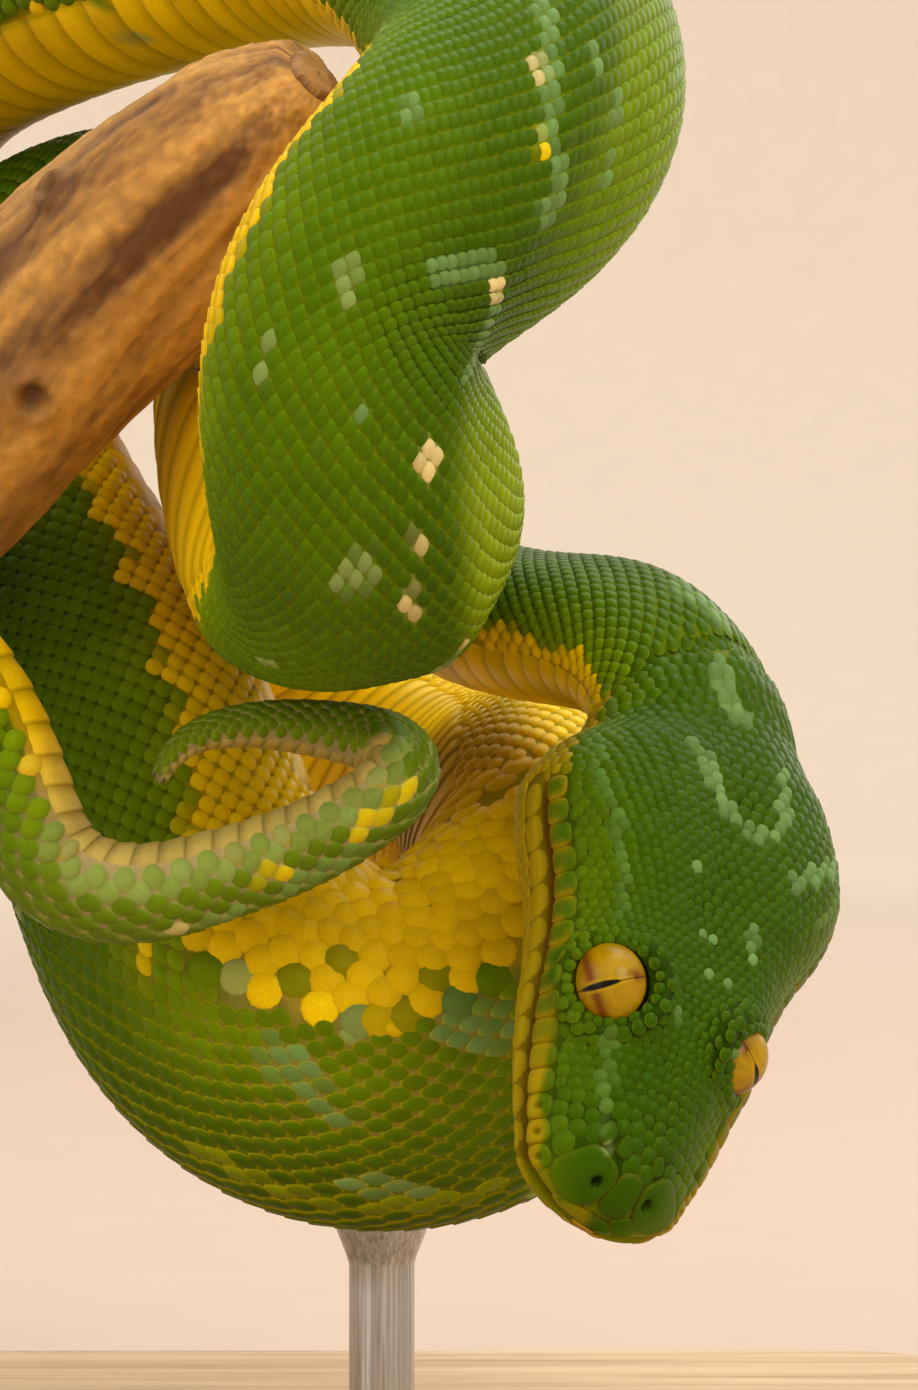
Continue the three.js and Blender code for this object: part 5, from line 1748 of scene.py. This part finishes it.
@dataclass
class Perch:
    """The cut length of branch: tan bark with ridges, knots and pale cut ends.

    A ring's radius is the branch's radius times one plus two slow waves round it, as on the
    plain solid, plus noise drawn out along the branch, less a rounding at both ends.

    Attributes:
        rings, columns: how fine the mesh is.
        waves: heights of the three-sided and two-sided waviness.
        ridges: height of the bark's ridges in millimetres.
        light, dark, cut: colours of bark and of cut wood, as sRGB triples.
        knots: ring position, angle and size of each knot.
    """

    rings: int = 230
    columns: int = 150
    waves: tuple = (0.035, 0.03)
    ridges: float = 0.55
    light: tuple = (208, 152, 66)
    dark: tuple = (98, 58, 16)
    cut: tuple = (176, 128, 66)
    knots: tuple = (
        (2.5, 2.7, 2.6), (4.4, 3.9, 2.2), (6.6, 2.2, 3.0), (8.3, 4.6, 2.4), (3.4, 5.2, 1.8),
    )

    def build(self, material: bpy.types.Material) -> bpy.types.Object:
        """Makes the branch as one closed mesh."""
        table = np.array(PERCH_ROUTE, float)
        last = len(table) - 1
        position = np.linspace(0, last, self.rings)
        row = spline_rows(table, position)
        ahead, behind = (
            spline_rows(table, np.clip(position + step, 0, last)) for step in (0.05, -0.05))
        along = unit(ahead[:, :3] - behind[:, :3])
        up = unit(np.array([0, 0, 1.0]) - along * along[:, 2:])
        side = np.cross(along, up)
        turn = 2 * np.pi * np.arange(self.columns) / self.columns
        waves = self.waves[0] * np.sin(3 * turn + 2 * position[:, None])
        waves = waves + self.waves[1] * np.sin(2 * turn - position[:, None])
        flow = np.stack(np.broadcast_arrays(
            4.2 * np.cos(turn), 4.2 * np.sin(turn), 0.55 * position[:, None]), axis=-1)
        ridge = 1 - 2 * np.abs(value_noise(flow, 1.0, 2))
        ridge = ridge + 0.6 * value_noise(flow * [2.4, 2.4, 4], 1.0, 6)
        fine = value_noise(flow * [5, 5, 14], 1.0, 12)
        lift = self.ridges * (0.5 * ridge - 0.4 + 0.3 * fine)
        spots = np.zeros((self.rings, self.columns))
        for at, angle, size in self.knots:
            swing = swung(turn - angle) * 12
            off = np.hypot(swing, (position[:, None] - at) * 15) / size
            lift = lift + 0.9 * bump(off, 1.0, 0.35) - 1.2 * bump(off, 0, 0.6)
            spots = np.maximum(spots, bump(off, 0, 0.9))
        radius = row[:, 3:] * (1 + waves) + lift
        edge = np.minimum(position, last - position)[:, None]
        radius = radius - 1.6 * np.clip(1 - edge / 0.12, 0, 1) ** 2
        centre = row[:, :3] + np.array(COIL_ORIGIN)
        points = centre[:, None] + radius[..., None] * (
            np.cos(turn)[None, :, None] * up[:, None] + np.sin(turn)[None, :, None] * side[:, None])
        broad = value_noise(flow * 0.6, 1.0, 21)
        mix = np.clip(0.42 + 0.3 * ridge + 0.25 * fine + 0.5 * broad, 0, 1)
        tint = blend(linear(self.dark), linear(self.light), mix)
        tint = blend(tint, linear(self.dark) * 0.5, 0.85 * spots)
        parts = [self.sides(points, tint)]
        for end, facing in ((0, -1), (self.rings - 1, 1)):
            parts.append(self.face(points[end], along[end] * facing, facing))
        return joined(parts).build("perch", material)

    def sides(self, points: Array, tint: Array) -> MeshData:
        """The bark as a closed tube."""
        rows, columns = points.shape[:2]
        faces = split(grid_faces(rows, columns, True)[:, ::-1])
        return MeshData.flat(points, faces, tint, map_places(columns, rows, 0.01, 0.8))

    def face(self, rim: Array, outward: Array, facing: int, rings: int = 14) -> MeshData:
        """A cut end: rings of grain about a middle off the centre, slightly rough."""
        middle = rim.mean(0)
        share = np.linspace(0, 1, rings)[::-1][:, None, None]
        points = middle + (rim - middle)[None] * share
        rough = value_noise(points / 1.1, 1, 5)
        dome = 0.9 * np.sqrt(np.clip(1 - share[..., 0] ** 8, 0, 1))
        points = points + outward * (dome + 0.12 * rough * (share[..., 0] < 0.98))[..., None]
        waves = 0.5 + 0.5 * np.sin(40 * share[..., 0] + 2 * rough)
        age = 0.35 * waves + 0.5 * smooth(0.8, 1, share[..., 0]) + 0.25 * rough
        tint = blend(linear(self.cut), linear(self.dark), np.clip(age, 0, 0.9))
        columns, row = len(rim), 0.9 + 0.04 * facing * share[..., 0] + 0.02 * facing
        place = np.stack(np.broadcast_arrays(np.linspace(0.01, 0.99, columns)[None], row), axis=-1)
        faces = split(grid_faces(rings, columns, True)[:, ::-facing])
        return MeshData.flat(points, faces, tint, place)


@dataclass
class Stand:
    """Plain display stand: an oiled wooden base with rounded edges and two upright steel rods.

    Attributes:
        size: width, depth and thickness of the base.
        corner: radius of its corners.
        edge: radius of its edges.
        rod: radius of the rods.
        perch_rod: place and top of the rod under the perch.
        body_rod: place and top of the rod under the lower loop.
        cup: radius of the cup on the body's rod.
        outline, sides: vertices round the base and round a rod.
    """

    size: tuple = (204, 184, 12)
    corner: float = 16
    edge: float = 1.8
    rod: float = 3.6
    perch_rod: tuple = (-39, -2, 103)
    body_rod: tuple = (26.5, -3.5, 46)
    cup: float = 6
    outline: int = 160
    sides: int = 56

    def base(self, material: bpy.types.Material) -> bpy.types.Object:
        """The base: an outline with round corners, drawn in at the edges by a quarter circle."""
        width, depth, thick = self.size
        turn = 2 * np.pi * (np.arange(self.outline) + 0.5) / self.outline
        corner = np.stack([np.sign(np.cos(turn)) * (width / 2 - self.corner),
                           np.sign(np.sin(turn)) * (depth / 2 - self.corner)], axis=-1)
        spoke = np.stack([np.cos(turn), np.sin(turn)], axis=-1)
        bend = np.radians(np.linspace(0, 90, 7))
        low = [(self.edge * (1 - math.sin(b)), self.edge * (1 - math.cos(b))) for b in bend]
        high = [(inset, thick - rise) for inset, rise in low[::-1]]
        inner = [(inset, thick) for inset in (6, 20, 45, 70, 88)]
        profile = [(inset, 0.0) for inset in (88, 45, 6)] + low + high + inner
        rows = []
        for inset, rise in profile:
            past = np.maximum(inset - self.corner, 0)
            shrink = np.maximum(1 - past / (np.array([width, depth]) / 2 - self.corner), 0.02)
            flat = corner * shrink + spoke * max(self.corner - inset, 0.4)
            rows.append(np.column_stack([flat, np.full(self.outline, rise)]))
        return self.closed(np.array(rows), "display_base", material)

    def closed(self, points: Array, name: str, material: bpy.types.Material) -> bpy.types.Object:
        """Closes rings of points with a fan at either end and makes the piece."""
        rows, columns = points.shape[:2]
        every = np.vstack([points.reshape(-1, 3), points[0].mean(0), points[-1].mean(0)])
        sides = map_places(columns, rows, 0.02, 0.98).reshape(-1, 2)
        place = np.vstack([sides, [0.5, 0.005], [0.5, 0.995]])
        grey = np.full((len(every), 3), 0.5)
        return MeshData(every, closed_faces(rows, columns), grey, place).build(name, material)

    def upright(self, place: tuple, name: str, material: bpy.types.Material,
                cup: float = 0) -> bpy.types.Object:
        """A rod turned about an upright axis, with a chamfered foot and top or a flared cup."""
        x, y, top = place
        foot = self.size[2] + 0.3
        profile = [(self.rod - 0.5, foot), (self.rod, foot + 0.5)]
        profile += [(self.rod, foot + 0.5 + step * (top - 9 - foot) / 8) for step in range(1, 9)]
        if cup:
            profile += [(self.rod + 0.3, top - 7.5), (self.rod + 1.2, top - 5.2),
                        (cup - 0.3, top - 2.6), (cup, top - 1.6), (cup, top - 0.4),
                        (cup - 0.4, top)]
        else:
            profile += [(self.rod, top - 0.5), (self.rod - 0.5, top)]
        return self.closed(turned(profile, self.sides) + [x, y, 0], name, material)


# ------------------------------------------------------------------ studio


@dataclass
class Studio:
    """Pale floor that curves up all round, soft lamps and the camera.

    Attributes:
        flat: radius of the flat floor in metres.
        wall: radius of the wall.
        height: height of the wall.
        colour, ground: colours of the wall and of the floor round the model as sRGB triples; the
            floor is darker, because the lamps are near it, so that both look alike.
        fade: radii in millimetres between which the one colour turns into the other.
        sides: vertices round the floor.
        eye: place of the camera.
        lens: focal length in millimetres.
        world, air: strength and linear colour of the light from all round.
        lamps: name, place, size, power and linear colour of each lamp.
    """

    flat: float = 2.1
    wall: float = 3.0
    height: float = 1.7
    colour: tuple = (240, 226, 209)
    ground: tuple = (202, 180, 161)
    fade: tuple = (650, 1900)
    sides: int = 96
    eye: tuple = (0.035, -0.428, 0.100)
    lens: float = 100
    world: float = 1.08
    air: tuple = (1.0, 0.97, 0.93, 1)
    lamps: tuple = (
        ("key", (0.6, -0.75, 0.8), 0.6, 5, (1.0, 0.97, 0.92)),
        ("fill", (-0.9, -0.7, 0.45), 0.8, 2.3, (0.97, 0.98, 1.0)),
        ("top", (0.2, 0.2, 1.1), 0.7, 3.5, (1.0, 0.99, 0.96)),
        ("rim", (0.6, 0.8, 0.6), 0.7, 2.2, (1.0, 0.98, 0.95)),
    )

    def backdrop(self) -> bpy.types.Object:
        """Floor and wall as one bowl: flat, then a quarter circle, then straight up."""
        bend = np.radians(np.linspace(0, 90, 24))
        reach = self.wall - self.flat
        floor = [(radius, 0) for radius in np.linspace(0.02, self.flat, 12)]
        curve = np.column_stack([self.flat + reach * np.sin(bend), reach * (1 - np.cos(bend))])[1:]
        profile = np.vstack([floor, curve, [(self.wall, self.height)]])
        points = turned(profile, self.sides) / MM
        faces = split(grid_faces(len(profile), self.sides, True)[:, ::-1])
        middle = fan(len(profile) * self.sides, 0, self.sides)
        every = np.vstack([points.reshape(-1, 3), [0, 0, 0]])
        far = smooth(*self.fade, np.hypot(every[:, 0], every[:, 1]))
        tint = blend(linear(self.ground), linear(self.colour), far)
        data = MeshData(every, np.concatenate([faces, middle]), tint, np.zeros((len(every), 2)))
        bowl = data.build("studio_bowl", PAPER.build())
        bowl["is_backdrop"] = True
        return bowl

    def lamp(self, name: str, place: tuple, size: float, power: float, colour: tuple) -> None:
        """A square area lamp that looks at the animal."""
        light = bpy.data.lights.new(name, "AREA")
        light.size = size
        light.energy = power
        light.color = colour
        item = bpy.data.objects.new(name, light)
        item.location = place
        aim = Vector((0, 0, 0.1)) - Vector(place)
        item.rotation_euler = aim.to_track_quat("-Z", "Y").to_euler()
        item.visible_camera = False
        bpy.context.scene.collection.objects.link(item)

    def build(self) -> None:
        """Makes the backdrop, the lamps, the light from all round and the camera."""
        self.backdrop()
        for lamp in self.lamps:
            self.lamp(*lamp)
        world = bpy.data.worlds.new("studio_air")
        world.use_nodes = True
        air = {"Color": self.air, "Strength": self.world}
        set_inputs(world.node_tree.nodes["Background"], air)
        bpy.context.scene.world = world
        camera = bpy.data.cameras.new("camera")
        camera.lens = self.lens
        camera.sensor_width = 36
        camera.clip_end = 20
        item = bpy.data.objects.new("camera", camera)
        item.location = self.eye
        item.rotation_euler = (math.pi / 2, 0, 0)
        bpy.context.scene.collection.objects.link(item)
        bpy.context.scene.camera = item
        bpy.context.scene.view_settings.view_transform = "Standard"


FLESH = ("head", "lower_jaw", "neck") + tuple(f"trunk_{k}" for k in range(1, 18)) + (
    "tail_base", "tail", "tail_tip")


def main() -> None:
    """Builds the animal, its perch, its stand and the studio, and reports each piece."""
    logging.basicConfig(level=logging.INFO, format="%(message)s")
    form = BodyForm(CoilRoute())
    marks = Markings(form)
    skin, scale_finish, eye_finish = Skin(form, marks), SCALES.build(), EYE_CAP.build()
    show(skin.build(SKIN.build()), "skin", *FLESH)
    for coat in (BodyCoat(form, marks, skin.depth), HeadCoat(form, marks, skin.depth)):
        for item in coat.build(scale_finish):
            show(item, "skin")
    eye = Eye(form)
    show(eye.build(1, eye_finish), "eye", "eye_left")
    show(eye.build(-1, eye_finish), "eye", "eye_right")
    show(Perch().build(BARK.build()), "bark", "perch_branch")
    stand, steel = Stand(), STEEL.build()
    show(stand.base(WOOD.build()), "base", "stand_base")
    show(stand.upright(stand.perch_rod, "rod_perch", steel), "steel", "stand_post_perch")
    show(stand.upright(stand.body_rod, "rod_body", steel, stand.cup), "steel", "stand_post_body")
    Studio().build()
    boxes = [[list(map(float, corner)) for corner in box] for box in (CAD_BOUNDS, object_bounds())]


if __name__ == "__main__":
    main()
